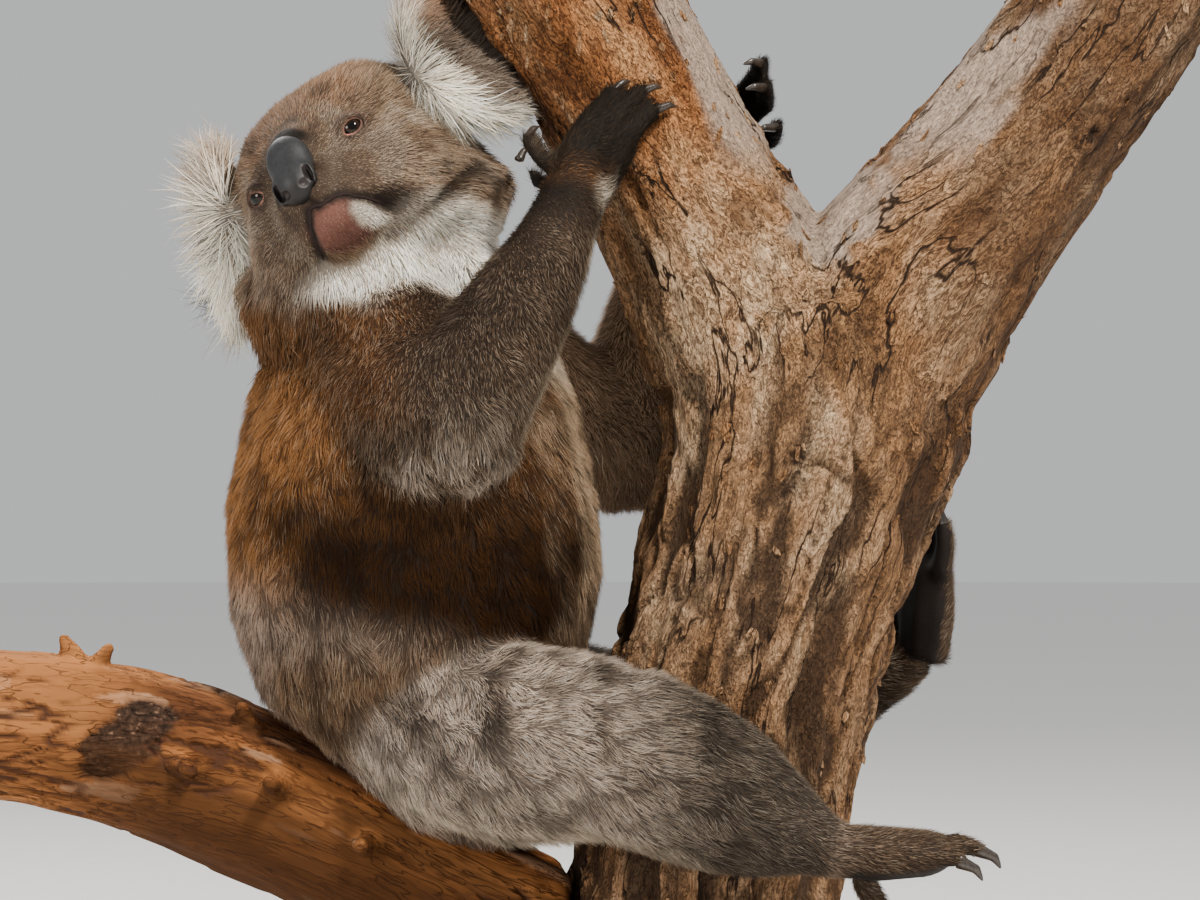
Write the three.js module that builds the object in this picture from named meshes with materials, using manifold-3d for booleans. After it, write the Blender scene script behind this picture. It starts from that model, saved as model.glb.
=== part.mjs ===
// A life-size koala hugging a forked trunk, seated on a side branch, on a plain display stand.
// Millimetres, +Z up, origin at the centre of the base plate's underside. The animal's chest
// points along +X and its right side along -Y; its head is turned over its right shoulder.
// Every outline of the animal is its coat's: it runs out to the tips of the fur.
import * as THREE from "three";
import { mergeVertices } from "three/addons/utils/BufferGeometryUtils.js";
import Module from "manifold-3d";

const wasm = await Module();
wasm.setup();

// ---- driving dimensions ----------------------------------------------------------------

const GAP = 0.5; // kept between touching pieces
const BASE = { length: 470, width: 340, thick: 18, corner: 34, bevel: 2 };
const ROD = { radius: 10, spread: 70, at: 66 }; // two rods, `spread` apart along X about `at`
const TRUNK_FOOT = 74; // height of the trunk's sawn lower end
const SOCKET = { wood: 24, base: 8 }; // how far a rod goes into the wood and into the base
const WAIST = 408; // height at which the trunk of the body is divided

const HEAD_AT = [-149, -24, 594];
const HEAD_FRONT = [-0.458, -0.869, 0.189]; // the way the nose points
const HEAD_LEFT = [0.777, -0.288, 0.56]; // the way the left ear points
const EYE = { radius: 8.6, apart: 36, front: 52, up: 12 };
const EAR = { apart: 95, front: -12, up: 44, turned: 58 };
// Each ear's own half-sizes, and how far it rolls on its bowl's axis and leans inwards, in degrees.
const EAR_OWN = {
  left: { half: [17, 50, 62], roll: 0, lean: 0 },
  right: { half: [22, 50, 66], roll: -25, lean: -15 },
};

const COLOURS = {
  coat: 0x6f635a,
  back: 0x5d4531,
  face: 0x7d7169,
  ruff: 0xd8cfc0,
  ear: 0xa39b94,
  paw: 0x51473f,
  nose: 0x2b2d30,
  eye: 0x1c120c,
  claw: 0x1b1815,
  bark: 0x7a5334,
  branch: 0x9a5c36,
  base: 0x4a3526,
  rod: 0x8c8f92,
};

// ---- vectors and frames ----------------------------------------------------------------

const vec = (x, y, z) => new THREE.Vector3(x, y, z);
const point = (list) => new THREE.Vector3(...list);

// A group at a place whose X axis points along `ahead` and whose Z axis is nearest to `above`.
function frameAt(place, ahead, above) {
  const x = ahead.clone().normalize();
  const y = above.clone().cross(x).normalize();
  const z = x.clone().cross(y);
  const group = new THREE.Group();
  group.position.copy(place);
  group.quaternion.setFromRotationMatrix(new THREE.Matrix4().makeBasis(x, y, z));
  return group;
}

// ---- closed meshes ---------------------------------------------------------------------

// Joins rows of points, each row closed on itself, with one point at each end.
function closedRows(first, rows, last) {
  const points = [first, ...rows.flat(), last];
  const around = rows[0].length;
  const faces = [];
  const at = (row, k) => 1 + row * around + (k % around);
  for (let k = 0; k < around; k++) {
    faces.push(0, at(0, k + 1), at(0, k));
    faces.push(points.length - 1, at(rows.length - 1, k), at(rows.length - 1, k + 1));
    for (let row = 0; row + 1 < rows.length; row++) {
      faces.push(at(row, k), at(row, k + 1), at(row + 1, k + 1));
      faces.push(at(row, k), at(row + 1, k + 1), at(row + 1, k));
    }
  }
  return new THREE.BufferGeometry().setFromPoints(points).setIndex(faces);
}

// One station of a tube: its place and its half-widths square to and along the tube's `across`,
// which is the animal's own left unless a piece says otherwise.
const ACROSS = vec(0, 1, 0);
const station = (x, y, z, deep, wide = deep) => ({ at: vec(x, y, z), deep, wide });

// A tube with an oval section through its stations. `domes` is the number of rows in the round
// end before the first station and after the last one; an end without rows is flat.
function tube(stations, { across = ACROSS, around = 12, steps = 7, domes = [2, 2], grow = 0, ripple } = {}) {
  const spine = new THREE.CatmullRomCurve3(stations.map((s) => s.at));
  const girth = new THREE.CatmullRomCurve3(stations.map((s, k) => vec(s.deep, s.wide, k)));
  const knot = (t) => spine.getPoint(t);
  const row = (t, scale, shift) => {
    const ahead = spine.getTangent(t);
    const deepAxis = across.clone().cross(ahead).normalize();
    const wideAxis = ahead.clone().cross(deepAxis);
    const { x: deep, y: wide } = girth.getPoint(t);
    const centre = knot(t).addScaledVector(ahead, shift * (Math.min(deep, wide) + grow));
    return Array.from({ length: around }, (_, k) => {
      const angle = (2 * Math.PI * k) / around;
      const swell = (ripple ? ripple(angle, t) : 0) + grow;
      return centre
        .clone()
        .addScaledVector(deepAxis, Math.cos(angle) * (deep + swell) * scale)
        .addScaledVector(wideAxis, Math.sin(angle) * (wide + swell) * scale);
    });
  };
  const tilts = (count) => Array.from({ length: count }, (_, k) => ((k + 1) / (count + 1)) * (Math.PI / 2));
  const before = tilts(domes[0]).reverse().map((tilt) => row(0, Math.cos(tilt), -Math.sin(tilt)));
  const along = Array.from({ length: steps + 1 }, (_, k) => row(k / steps, 1, 0));
  const after = tilts(domes[1]).map((tilt) => row(1, Math.cos(tilt), Math.sin(tilt)));
  const tip = (t, way, domed) => {
    const { x: deep, y: wide } = girth.getPoint(t);
    const reach = domed ? Math.min(deep, wide) + grow : grow;
    return knot(t).addScaledVector(spine.getTangent(t), way * reach);
  };
  if (!domes[0]) before.push(flatEnd(along[0], spine.getTangent(0), -grow));
  if (!domes[1]) after.push(flatEnd(along.at(-1), spine.getTangent(1), grow));
  const rows = [...before, ...along, ...after].filter((r) => r.length);
  return closedRows(tip(0, -1, domes[0]), rows, tip(1, 1, domes[1]));
}

// A flat end's rim moved outwards with the growth of the tube, or no row where it does not grow.
const flatEnd = (rim, ahead, shift) => (shift ? rim.map((p) => p.clone().addScaledVector(ahead, shift)) : []);

// ---- rounded forms made of blended fields ----------------------------------------------

// A field is negative inside its form. An oval has half-axes along X, Y and Z.
const oval = (centre, half) => (p) => {
  const offset = p.clone().sub(point(centre));
  const inner = offset.clone().divide(point(half)).length();
  const slope = offset.divide(point(half)).divide(point(half)).length();
  return slope < 1e-9 ? -Math.min(...half) : (inner * (inner - 1)) / slope;
};

const softMin = (a, b, soft) => {
  const h = Math.max(soft - Math.abs(a - b), 0) / soft;
  return Math.min(a, b) - (h * h * soft) / 4;
};

const blended = (soft, ...fields) => (p) => fields.map((f) => f(p)).reduce((a, b) => softMin(a, b, soft));
const hollowed = (soft, field, cutter) => (p) => -softMin(-field(p), cutter(p), soft);

// The surface of a field, met by rays from its centre, in rows that run round the X axis.
function rayed(field, { centre = [0, 0, 0], around = 24, rows = 14, grow = 0, reach = 140 } = {}) {
  const start = point(centre);
  const surface = (direction) => {
    const value = (r) => field(start.clone().addScaledVector(direction, r)) - grow;
    let near = 0;
    while (near < reach && value(near + 2) < 0) near += 2;
    let far = near + 2;
    for (let k = 0; k < 12; k++) {
      const middle = (near + far) / 2;
      if (value(middle) > 0) far = middle;
      else near = middle;
    }
    return start.clone().addScaledVector(direction, near);
  };
  const made = [];
  for (let k = 1; k < rows; k++) {
    const tilt = -Math.PI / 2 + (Math.PI * k) / rows;
    const ring = (_, j) => {
      const angle = (2 * Math.PI * j) / around;
      return surface(vec(Math.sin(tilt), Math.cos(tilt) * Math.cos(angle), Math.cos(tilt) * Math.sin(angle)));
    };
    made.push(Array.from({ length: around }, ring));
  }
  return closedRows(surface(vec(-1, 0, 0)), made, surface(vec(1, 0, 0)));
}

// ---- joins and cuts --------------------------------------------------------------------

function solidFrom(geometry, matrix) {
  const bare = geometry.clone().applyMatrix4(matrix);
  bare.deleteAttribute("normal");
  bare.deleteAttribute("uv");
  const merged = mergeVertices(bare, 1e-4);
  const triVerts = new Uint32Array(merged.index.array);
  const vertProperties = merged.attributes.position.array;
  return new wasm.Manifold(new wasm.Mesh({ numProp: 3, vertProperties, triVerts }));
}

function geometryFrom(solid) {
  const { vertProperties, triVerts, numProp } = solid.getMesh();
  const positions = new Float32Array(vertProperties.filter((_, k) => k % numProp < 3));
  return new THREE.BufferGeometry()
    .setAttribute("position", new THREE.BufferAttribute(positions, 3))
    .setIndex(new THREE.BufferAttribute(triVerts, 1));
}

const largest = (solid) => solid.decompose().reduce((a, b) => (a.volume() > b.volume() ? a : b));

// Pieces are made in order, and each gives way to the earlier ones that it meets. `shape(grow)`
// gives one geometry or several to join; a piece cuts its neighbours as `shape(GAP)`.
const koala = new THREE.Group();
const cutters = [];

function addPiece(name, colour, shape, { frame = new THREE.Group(), trims = [], roughness = 0.9 } = {}) {
  koala.add(frame);
  frame.updateMatrixWorld(true);
  const join = (grow) =>
    [shape(grow)]
      .flat()
      .map((geometry) => solidFrom(geometry, frame.matrixWorld))
      .reduce((a, b) => a.add(b));
  const trimmers = trims.map((trim) => solidFrom(trim, new THREE.Matrix4()));
  const solid = [...cutters, ...trimmers].reduce((left, cutter) => left.subtract(cutter), join(0));
  cutters.push(join(GAP));
  const geometry = geometryFrom(largest(solid)).applyMatrix4(frame.matrixWorld.clone().invert());
  geometry.computeVertexNormals();
  const material = new THREE.MeshStandardMaterial({ color: colour, roughness, metalness: 0 });
  const mesh = new THREE.Mesh(geometry, material);
  mesh.name = name;
  frame.add(mesh);
}

// ---- the display stand -----------------------------------------------------------------

const rodPlace = [-1, 1].map((way) => ROD.at + (way * ROD.spread) / 2);

rodPlace.forEach((x, k) => {
  const low = BASE.thick - SOCKET.base;
  const high = TRUNK_FOOT + SOCKET.wood;
  const bar = (grow) =>
    new THREE.CylinderGeometry(ROD.radius + grow, ROD.radius + grow, high - low + 2 * grow, 12)
      .rotateX(Math.PI / 2)
      .translate(x, 0, (high + low) / 2);
  addPiece(`stand_rod_${k + 1}`, COLOURS.rod, bar, { roughness: 0.35 });
});

function basePlate() {
  const { length, width, thick, corner, bevel } = BASE;
  const outline = new THREE.Shape();
  const [x, y] = [length / 2 - corner, width / 2 - corner];
  outline.absarc(x, y, corner - bevel, 0, Math.PI / 2);
  outline.absarc(-x, y, corner - bevel, Math.PI / 2, Math.PI);
  outline.absarc(-x, -y, corner - bevel, Math.PI, 1.5 * Math.PI);
  outline.absarc(x, -y, corner - bevel, 1.5 * Math.PI, 2 * Math.PI);
  const edge = { bevelSize: bevel, bevelThickness: bevel, bevelSegments: 1, curveSegments: 3 };
  return new THREE.ExtrudeGeometry(outline, { depth: thick - 2 * bevel, ...edge }).translate(0, 0, bevel);
}
addPiece("stand_base", COLOURS.base, basePlate, { roughness: 0.5 });

// ---- the perch -------------------------------------------------------------------------

// Low swellings that wind along a length of timber.
const knotty = (size, turns) => (angle, t) =>
  size * Math.sin(3 * angle + turns * t) * Math.cos(2 * angle - 9 * t);

// Swellings with the bark's ribs on them: `ribs` of them round the limb, with furrows between
// that are `depth` deep. A limb has two corners round it for each rib.
const furrowed = (depth, ribs, swelling) => (angle, t) =>
  (depth / 2) * Math.cos(ribs * angle) + swelling(angle, t);
const RIBS = { trunk: 14, fork: 7, deep: 5.2, shallow: 3.4 };
const KNOT = { at: [296, -38, 636], radius: 19 }; // a healed branch stump on the right fork

const TRUNK = [
  station(54, 0, TRUNK_FOOT, 90),
  station(66, 0, 180, 86),
  station(92, 0, 310, 82),
  station(120, 0, 408, 86),
  station(135, 0, 470, 98, 88),
  station(126, 0, 528, 90, 78),
];
const FORK_LEFT = [
  station(98, 0, 506, 76),
  station(62, 0, 580, 62),
  station(24, 0, 648, 58),
  station(-27, 0, 738, 61),
  station(-41, 0, 763, 62),
];
const FORK_RIGHT = [
  station(142, 0, 474, 82, 78),
  station(196, 0, 546, 72),
  station(245, 0, 614, 61),
  station(298, 0, 684, 59),
  station(352, 0, 762, 60),
];
const BRANCH = [
  station(64, 0, 106, 50),
  station(0, 0, 118, 52),
  station(-92, 0, 163, 51),
  station(-186, 0, 213, 53),
  station(-272, 0, 249, 53),
  station(-334, 0, 264, 50),
  station(-405, 0, 272, 49),
];

const timber = (stations, around, steps, ripple) => (grow) =>
  tube(stations, { around, steps, domes: [0, 0], grow, ripple });

const trunkBark = furrowed(RIBS.deep, RIBS.trunk, knotty(2.4, 4));
const leftBark = furrowed(RIBS.shallow, RIBS.fork, knotty(1.6, 5));
const rightBark = furrowed(RIBS.shallow, RIBS.fork, knotty(1.8, 3));
const stump = (grow) => new THREE.SphereGeometry(KNOT.radius + grow, 9, 6).translate(...KNOT.at);

addPiece("perch_trunk", COLOURS.bark, timber(TRUNK, 2 * RIBS.trunk, 8, trunkBark));
addPiece("perch_fork_left", COLOURS.bark, timber(FORK_LEFT, 2 * RIBS.fork, 5, leftBark));
const rightFork = timber(FORK_RIGHT, 2 * RIBS.fork, 5, rightBark);
addPiece("perch_fork_right", COLOURS.bark, (grow) => [rightFork(grow), stump(grow)]);
addPiece("perch_branch", COLOURS.branch, timber(BRANCH, 12, 8, knotty(1.4, 6)));

// ---- claws, hands and feet -------------------------------------------------------------

// A claw leaves `root` along `ahead`, and curls towards `curl` as it thins to its tip.
function clawShape(root, ahead, curl, { length, thick }) {
  const way = point(ahead).normalize();
  const side = point(curl).projectOnPlane(way).normalize();
  const turn = 1.25;
  const radius = length / turn;
  const place = (t) =>
    point(root)
      .addScaledVector(way, radius * Math.sin(turn * t))
      .addScaledVector(side, radius * (1 - Math.cos(turn * t)));
  const across = way.clone().cross(side).normalize();
  const stations = [0, 0.35, 0.7, 1].map((t) => {
    const half = (thick / 2) * (1 - t) ** 0.6 + 0.35;
    return { at: place(t), deep: half * 1.25, wide: half };
  });
  return (grow) => tube(stations, { across, around: 5, steps: 2, domes: [0, 0], grow });
}

// A digit runs through its points and thins a little towards its end.
function digitShape(points, thick) {
  const thinning = 0.22 / (points.length - 1);
  const stations = points.map((place, k) => station(...place, (thick / 2) * (1 - thinning * k)));
  const across = vec(0.3, 0.8, 0.52);
  return (grow) => tube(stations, { across, around: 5, steps: 2, domes: [0, 1], grow });
}

// One digit through its points, with the claw that leaves its last point, if it has one.
const digit = (thick, path, claw, ahead, curl) => ({ thick, path, claw, ahead, curl });

// A hand or foot: its claws first, then its palm or sole joined with its digits.
function addPaw(name, palm, across, digits) {
  const clawed = digits.filter(({ claw }) => claw);
  clawed.forEach(({ path, ahead, curl, claw }, k) => {
    const shape = clawShape(path.at(-1), ahead, curl, claw);
    addPiece(`claw_${name}_${k + 1}`, COLOURS.claw, shape, { roughness: 0.35 });
  });
  const shapes = digits.map(({ path, thick }) => digitShape(path, thick));
  const whole = (grow) => [
    tube(palm, { across: point(across), around: 7, steps: 2, domes: [0, 1], grow }),
    ...shapes.map((shape) => shape(grow)),
  ];
  addPiece(name, COLOURS.paw, whole);
}

// The claws of fingers, thumbs, large toes and the two small joined toes used as a comb.
const FINGER = { length: 21, thick: 6.5 };
const THUMB = { length: 16, thick: 6 };
const TOE = { length: 25, thick: 8 };
const COMB = { length: 13, thick: 4.5 };

addPaw(
  "hand_right",
  [station(-14, -84, 592, 22, 17), station(-6, -80, 612, 24, 17), station(4, -76, 630, 23, 13)],
  [-0.3, 0.95, 0],
  [
    digit(17, [[-12, -76, 618], [-6, -76, 640], [7, -69, 656]], FINGER, [0.6, 0.1, 0.8], [0.6, 1, -0.4]),
    digit(18, [[2, -77, 620], [10, -78, 642], [24, -69, 656]], FINGER, [0.8, 0.1, 0.55], [0.5, 1, -0.5]),
    digit(16, [[8, -75, 612], [20, -76, 632], [33, -67, 645]], FINGER, [0.8, 0.1, 0.55], [0.5, 1, -0.6]),
    digit(16, [[-16, -82, 600], [-34, -76, 614], [-44, -66, 628]], THUMB, [0.1, 0.5, 1], [1, 0.3, 0.1]),
    digit(15, [[-18, -74, 594], [-38, -58, 602], [-50, -42, 616]], THUMB, [0.1, 0.5, 1], [1, 0.1, 0.1]),
  ],
);

addPaw(
  "hand_left",
  [station(50, 92, 594, 18, 24), station(62, 80, 616, 16, 27), station(78, 62, 636, 13, 25)],
  [0.45, 0.2, 0.87],
  [
    digit(16, [[78, 60, 650], [97, 36, 672], [101, 12, 679]], FINGER, [-0.5, -0.9, 0.4], [-1, -0.2, -0.6]),
    digit(17, [[82, 58, 640], [104, 34, 656], [103, 10, 664]], FINGER, [-0.5, -0.9, 0.3], [-1, -0.2, -0.5]),
    digit(16, [[84, 60, 626], [108, 36, 634], [110, 14, 640]], FINGER, [-0.6, -0.9, 0.1], [-1, 0.1, -0.4]),
    digit(16, [[52, 80, 612], [26, 78, 636], [4, 68, 652]], THUMB, [-0.8, -0.4, 0.5], [-0.3, -1, 0.2]),
    digit(15, [[44, 84, 600], [16, 82, 614], [-10, 68, 624]], THUMB, [-0.8, -0.5, 0.3], [-0.2, -1, 0.1]),
  ],
);

addPaw(
  "foot_right",
  [station(136, -112, 200, 20, 20), station(168, -108, 197, 18, 24), station(198, -104, 197, 15, 23)],
  [0, 1, 0],
  [
    digit(17, [[190, -121, 196], [204, -122, 198], [213, -120, 194]], TOE, [1, 0, -0.1], [0, 0.1, -1]),
    digit(18, [[194, -106, 199], [214, -107, 203], [225, -106, 200]], TOE, [1, 0, -0.1], [0, 0.1, -1]),
    digit(15, [[192, -92, 198], [208, -91, 200], [218, -90, 198]], COMB, [1, 0, 0], [0, 0.1, -1]),
    digit(14, [[190, -84, 196], [205, -80, 197], [214, -79, 195]], COMB, [1, 0.2, 0], [0, 0.1, -1]),
    digit(22, [[158, -96, 192], [160, -84, 176], [168, -76, 162]]),
  ],
);

addPaw(
  "foot_left",
  [station(204, 70, 306, 16, 22), station(206, 64, 334, 17, 25), station(207, 60, 362, 14, 24)],
  [-0.47, 0.88, 0],
  [
    digit(17, [[214, 42, 360], [217, 38, 380], [215, 38, 392]], TOE, [0, 0, 1], [-1, -0.3, 0]),
    digit(18, [[208, 56, 362], [212, 54, 386], [211, 54, 400]], TOE, [0, 0, 1], [-1, -0.3, 0]),
    digit(15, [[201, 70, 360], [204, 70, 379], [203, 70, 391]], COMB, [0, 0, 1], [-1, -0.4, 0]),
    digit(14, [[196, 80, 356], [197, 81, 373], [196, 81, 384]], COMB, [0, 0, 1], [-1, -0.4, 0]),
    digit(20, [[190, 84, 330], [174, 96, 340], [156, 102, 350]]),
  ],
);

// ---- limbs -----------------------------------------------------------------------------

const limb = (stations) => (grow) => tube(stations, { around: 11, steps: 4, domes: [1, 1], grow });

const ARM_RIGHT = {
  upper: [station(-132, -50, 512, 56, 46), station(-112, -74, 482, 58, 46), station(-92, -92, 456, 52, 42)],
  fore: [
    station(-90, -98, 452, 46, 40),
    station(-60, -104, 506, 42, 36),
    station(-34, -100, 550, 32, 30),
    station(-15, -88, 594, 22, 21),
  ],
};
const ARM_LEFT = {
  upper: [station(-78, 56, 508, 54, 46), station(-36, 84, 470, 52, 44), station(4, 102, 440, 48, 40)],
  fore: [
    station(12, 104, 434, 46, 40),
    station(26, 110, 490, 40, 36),
    station(38, 106, 546, 32, 30),
    station(50, 94, 592, 24, 23),
  ],
};
const LEG_RIGHT = {
  thigh: [station(-104, -56, 268, 56, 52), station(-50, -96, 262, 68, 50), station(6, -118, 262, 60, 44)],
  shank: [
    station(10, -120, 260, 59, 43),
    station(60, -122, 238, 56, 40),
    station(98, -117, 218, 44, 33),
    station(134, -112, 201, 23, 22),
  ],
};
const LEG_LEFT = {
  thigh: [station(-78, 58, 262, 56, 52), station(-30, 100, 258, 66, 50), station(18, 130, 256, 58, 46)],
  shank: [
    station(24, 133, 256, 56, 44),
    station(84, 136, 262, 52, 40),
    station(144, 118, 280, 38, 32),
    station(192, 86, 302, 22, 23),
  ],
};

addPiece("forearm_right", COLOURS.coat, limb(ARM_RIGHT.fore));
addPiece("upper_arm_right", COLOURS.coat, limb(ARM_RIGHT.upper));
addPiece("forearm_left", COLOURS.coat, limb(ARM_LEFT.fore));
addPiece("upper_arm_left", COLOURS.coat, limb(ARM_LEFT.upper));
addPiece("shank_right", COLOURS.coat, limb(LEG_RIGHT.shank));
addPiece("thigh_right", COLOURS.coat, limb(LEG_RIGHT.thigh));
addPiece("shank_left", COLOURS.coat, limb(LEG_LEFT.shank));
addPiece("thigh_left", COLOURS.coat, limb(LEG_LEFT.thigh));

// ---- the head --------------------------------------------------------------------------

// In the head's frame X runs to the nose, Y to the left ear and Z to the crown.
const HEAD_UP = point(HEAD_FRONT).cross(point(HEAD_LEFT));
const headFrame = () => frameAt(point(HEAD_AT), point(HEAD_FRONT), HEAD_UP);

const SIDES = { left: 1, right: -1 };

for (const [side, way] of Object.entries(SIDES)) {
  const ball = (grow) =>
    new THREE.SphereGeometry(EYE.radius + grow, 8, 5).translate(EYE.front, way * EYE.apart, EYE.up);
  addPiece(`eye_${side}`, COLOURS.eye, ball, { frame: headFrame(), roughness: 0.15 });
}

const nosePad = blended(8, oval([85, -1, -13], [11, 14, 14.5]), oval([79.5, 0, 5], [11, 14, 17]));
const noseShape = (grow) => rayed(nosePad, { centre: [84, 0, -4], around: 12, rows: 7, grow });
addPiece("nose", COLOURS.nose, noseShape, { frame: headFrame(), roughness: 0.45 });

const skull = blended(
  14,
  oval([-10, 0, 16], [72, 76, 74]),
  oval([-30, 0, -22], [60, 88, 50]),
  oval([14, 42, -20], [46, 38, 40]),
  oval([14, -42, -20], [46, 38, 40]),
  oval([-8, 38, 48], [48, 32, 33]),
  oval([-8, -38, 48], [48, 32, 33]),
  oval([50, 0, 12], [34, 24, 26]),
  oval([56, 0, -20], [32, 30, 25]),
  oval([50, 0, -40], [28, 24, 16]),
);
const headShape = (grow) => rayed(skull, { around: 18, rows: 11, grow });
addPiece("head", COLOURS.face, headShape, { frame: headFrame() });

for (const [side, way] of Object.entries(SIDES)) {
  const earFrame = new THREE.Group();
  earFrame.position.set(EAR.front, way * EAR.apart, EAR.up);
  const own = EAR_OWN[side];
  const turns = [own.roll, own.lean, way * EAR.turned].map(THREE.MathUtils.degToRad);
  earFrame.rotation.set(...turns, "ZYX");
  const frame = headFrame();
  frame.updateMatrixWorld(true);
  earFrame.applyMatrix4(frame.matrixWorld);
  const bowl = hollowed(10, oval([0, 0, 0], own.half), oval([26, 0, 0], [18, 30, 34]));
  const earShape = (grow) => rayed(bowl, { around: 12, rows: 7, grow, centre: [-4, 0, 0] });
  addPiece(`ear_${side}`, COLOURS.ear, earShape, { frame: earFrame });
}

// ---- the neck and the trunk of the body ------------------------------------------------

const NECK = [
  station(-138, -14, 584, 66, 62),
  station(-142, -14, 552, 87, 70),
  station(-126, -3, 515, 92, 79),
];
addPiece("neck", COLOURS.ruff, (grow) => tube(NECK, { around: 10, steps: 2, domes: [0, 0], grow }));

const BODY = [
  station(-90, 0, 256, 82, 86),
  station(-108, 0, 315, 116, 106),
  station(-116, 0, 371, 124, 104),
  station(-117, 0, 439, 116, 98),
  station(-121, 0, 507, 94, 86),
  station(-124, -4, 545, 72, 70),
];
const body = (grow) => tube(BODY, { around: 15, steps: 6, domes: [2, 0], grow });

// A block that removes everything above (1) or below (-1) the waist, and half of the gap there.
const BLOCK = 600;
const beyondWaist = (way) =>
  new THREE.BoxGeometry(BLOCK, BLOCK, BLOCK).translate(0, 0, WAIST + (way * (BLOCK - GAP)) / 2);

addPiece("chest", COLOURS.back, body, { trims: [beyondWaist(-1)] });
cutters.pop(); // the rump is the rest of the same form, so only the waist parts the two
addPiece("rump", COLOURS.back, body, { trims: [beyondWaist(1)] });

export default koala;
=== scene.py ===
"""The looks of a life-size koala model that hugs a forked trunk on a display stand."""
import math

import bmesh
import bpy
import numpy as np
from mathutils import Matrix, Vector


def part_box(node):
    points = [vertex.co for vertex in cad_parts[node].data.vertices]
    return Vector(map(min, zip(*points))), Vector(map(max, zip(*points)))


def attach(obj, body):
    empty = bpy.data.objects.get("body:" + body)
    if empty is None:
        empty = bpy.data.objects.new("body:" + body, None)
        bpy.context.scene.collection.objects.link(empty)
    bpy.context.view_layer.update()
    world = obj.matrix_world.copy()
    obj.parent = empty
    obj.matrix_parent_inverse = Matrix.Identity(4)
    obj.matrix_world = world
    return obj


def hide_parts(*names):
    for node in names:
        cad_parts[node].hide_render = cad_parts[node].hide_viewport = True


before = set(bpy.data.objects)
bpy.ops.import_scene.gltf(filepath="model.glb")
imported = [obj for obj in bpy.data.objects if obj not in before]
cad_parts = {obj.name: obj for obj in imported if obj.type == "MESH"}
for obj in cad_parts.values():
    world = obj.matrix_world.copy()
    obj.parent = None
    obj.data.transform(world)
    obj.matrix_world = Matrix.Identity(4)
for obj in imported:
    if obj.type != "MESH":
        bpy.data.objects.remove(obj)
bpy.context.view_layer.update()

import openvdb as vdb
from mathutils import Matrix, Vector, kdtree

ROOT = "root"
MM = 0.001

bl_info = {
    "name": "Koala on a forked trunk",
    "version": (1, 0, 0),
    "blender": (4, 5, 0),
    "location": "3D View > Sidebar > Koala",
    "description": "Builds the skin, coat, face, claws, perch, stand and stage of a koala model",
    "category": "Add Mesh",
}


# ---- where things are ----

# The head's own frame: its centre, and the ways to its nose, its left ear and its crown.
HEAD_AT = np.array((-0.149, -0.024, 0.594))
HEAD_FRONT = np.array((-0.458, -0.869, 0.189))
HEAD_LEFT = np.array((0.777, -0.288, 0.56))
HEAD_FRONT /= np.linalg.norm(HEAD_FRONT)
HEAD_UP = np.cross(HEAD_FRONT, HEAD_LEFT)
HEAD_UP /= np.linalg.norm(HEAD_UP)
HEAD_LEFT = np.cross(HEAD_UP, HEAD_FRONT)
HEAD_AXES = np.stack([HEAD_FRONT, HEAD_LEFT, HEAD_UP])

NODES = sorted(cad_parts)
CLAWS = [n for n in NODES if n.startswith("claw_")]
WOOD = ["perch_trunk", "perch_fork_left", "perch_fork_right"]
EYES = ["eye_left", "eye_right"]
FLESH = [n for n in NODES if not n.startswith(("claw_", "perch_", "stand_", "eye_")) and n != "nose"]

# The coat of each part of the body: how deep the skin lies under the tips, the length of the
# tufts, how steeply they stand (degrees), how wide they are, and how many cover a square
# centimetre. Lengths in millimetres.
COAT = {
    "head": (5.0, 9.0, 32, 0.62, 95),
    "neck": (10.0, 25.0, 28, 0.95, 42),
    "chest": (7.5, 13.2, 34, 0.78, 62),
    "rump": (8.0, 14.0, 35, 0.82, 56),
    "ear": (9.0, 30.0, 34, 0.5, 80),
    "upper_arm": (6.8, 10.0, 52, 0.74, 72),
    "forearm": (5.8, 8.8, 52, 0.72, 74),
    "thigh": (8.0, 13.5, 40, 0.84, 60),
    "shank": (6.6, 11.5, 38, 0.8, 64),
    "hand": (1.2, 7.0, 34, 0.66, 88),
    "foot": (1.4, 7.0, 34, 0.68, 84),
}


def kind(node):
    """The row of COAT that a flesh node belongs to."""
    return next(key for key in COAT if node.startswith(key))


# ---- numbers on grids ----

def in_head(points):
    """Points of the row frame given in the head's frame, in millimetres."""
    return (points - HEAD_AT) @ HEAD_AXES.T / MM


def from_head(points):
    """Points of the head's frame, in millimetres, given in the row frame."""
    return np.asarray(points, float) * MM @ HEAD_AXES + HEAD_AT


def smooth(low, high, x):
    """0 below low, 1 above high, and an even slope between."""
    t = np.clip((x - low) / (high - low), 0.0, 1.0)
    return t * t * (3 - 2 * t)


def unit(way):
    return np.array(way) / np.linalg.norm(way)


def bell(x, width):
    return np.exp(-((x / width) ** 2))


LATTICE = np.random.default_rng(11).random((24, 24, 24, 3)).astype(np.float32) * 2 - 1


def cloudy(points, size, shift=0.0):
    """Smooth noise with three values from -1 to 1 at each point; blobs are about `size` across."""
    q = points / size + shift
    cell = np.floor(q).astype(int)
    part = q - cell
    part = part * part * (3 - 2 * part)
    total = np.zeros((len(points), 3))
    for corner in np.ndindex(2, 2, 2):
        weight = np.prod(np.where(np.array(corner) == 1, part, 1 - part), axis=1)
        at = (cell + corner) % 24
        total += LATTICE[at[:, 0], at[:, 1], at[:, 2]] * weight[:, None]
    return total


def ragged(points, size):
    """Noise of three sizes added up, whose level lines are as torn as the edges of flakes."""
    total = cloudy(points, size)[:, 0] + 0.5 * cloudy(points, size / 2.1, 3.0)[:, 1]
    return total + 0.28 * cloudy(points, size / 4.3, 6.0)[:, 2]


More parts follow.
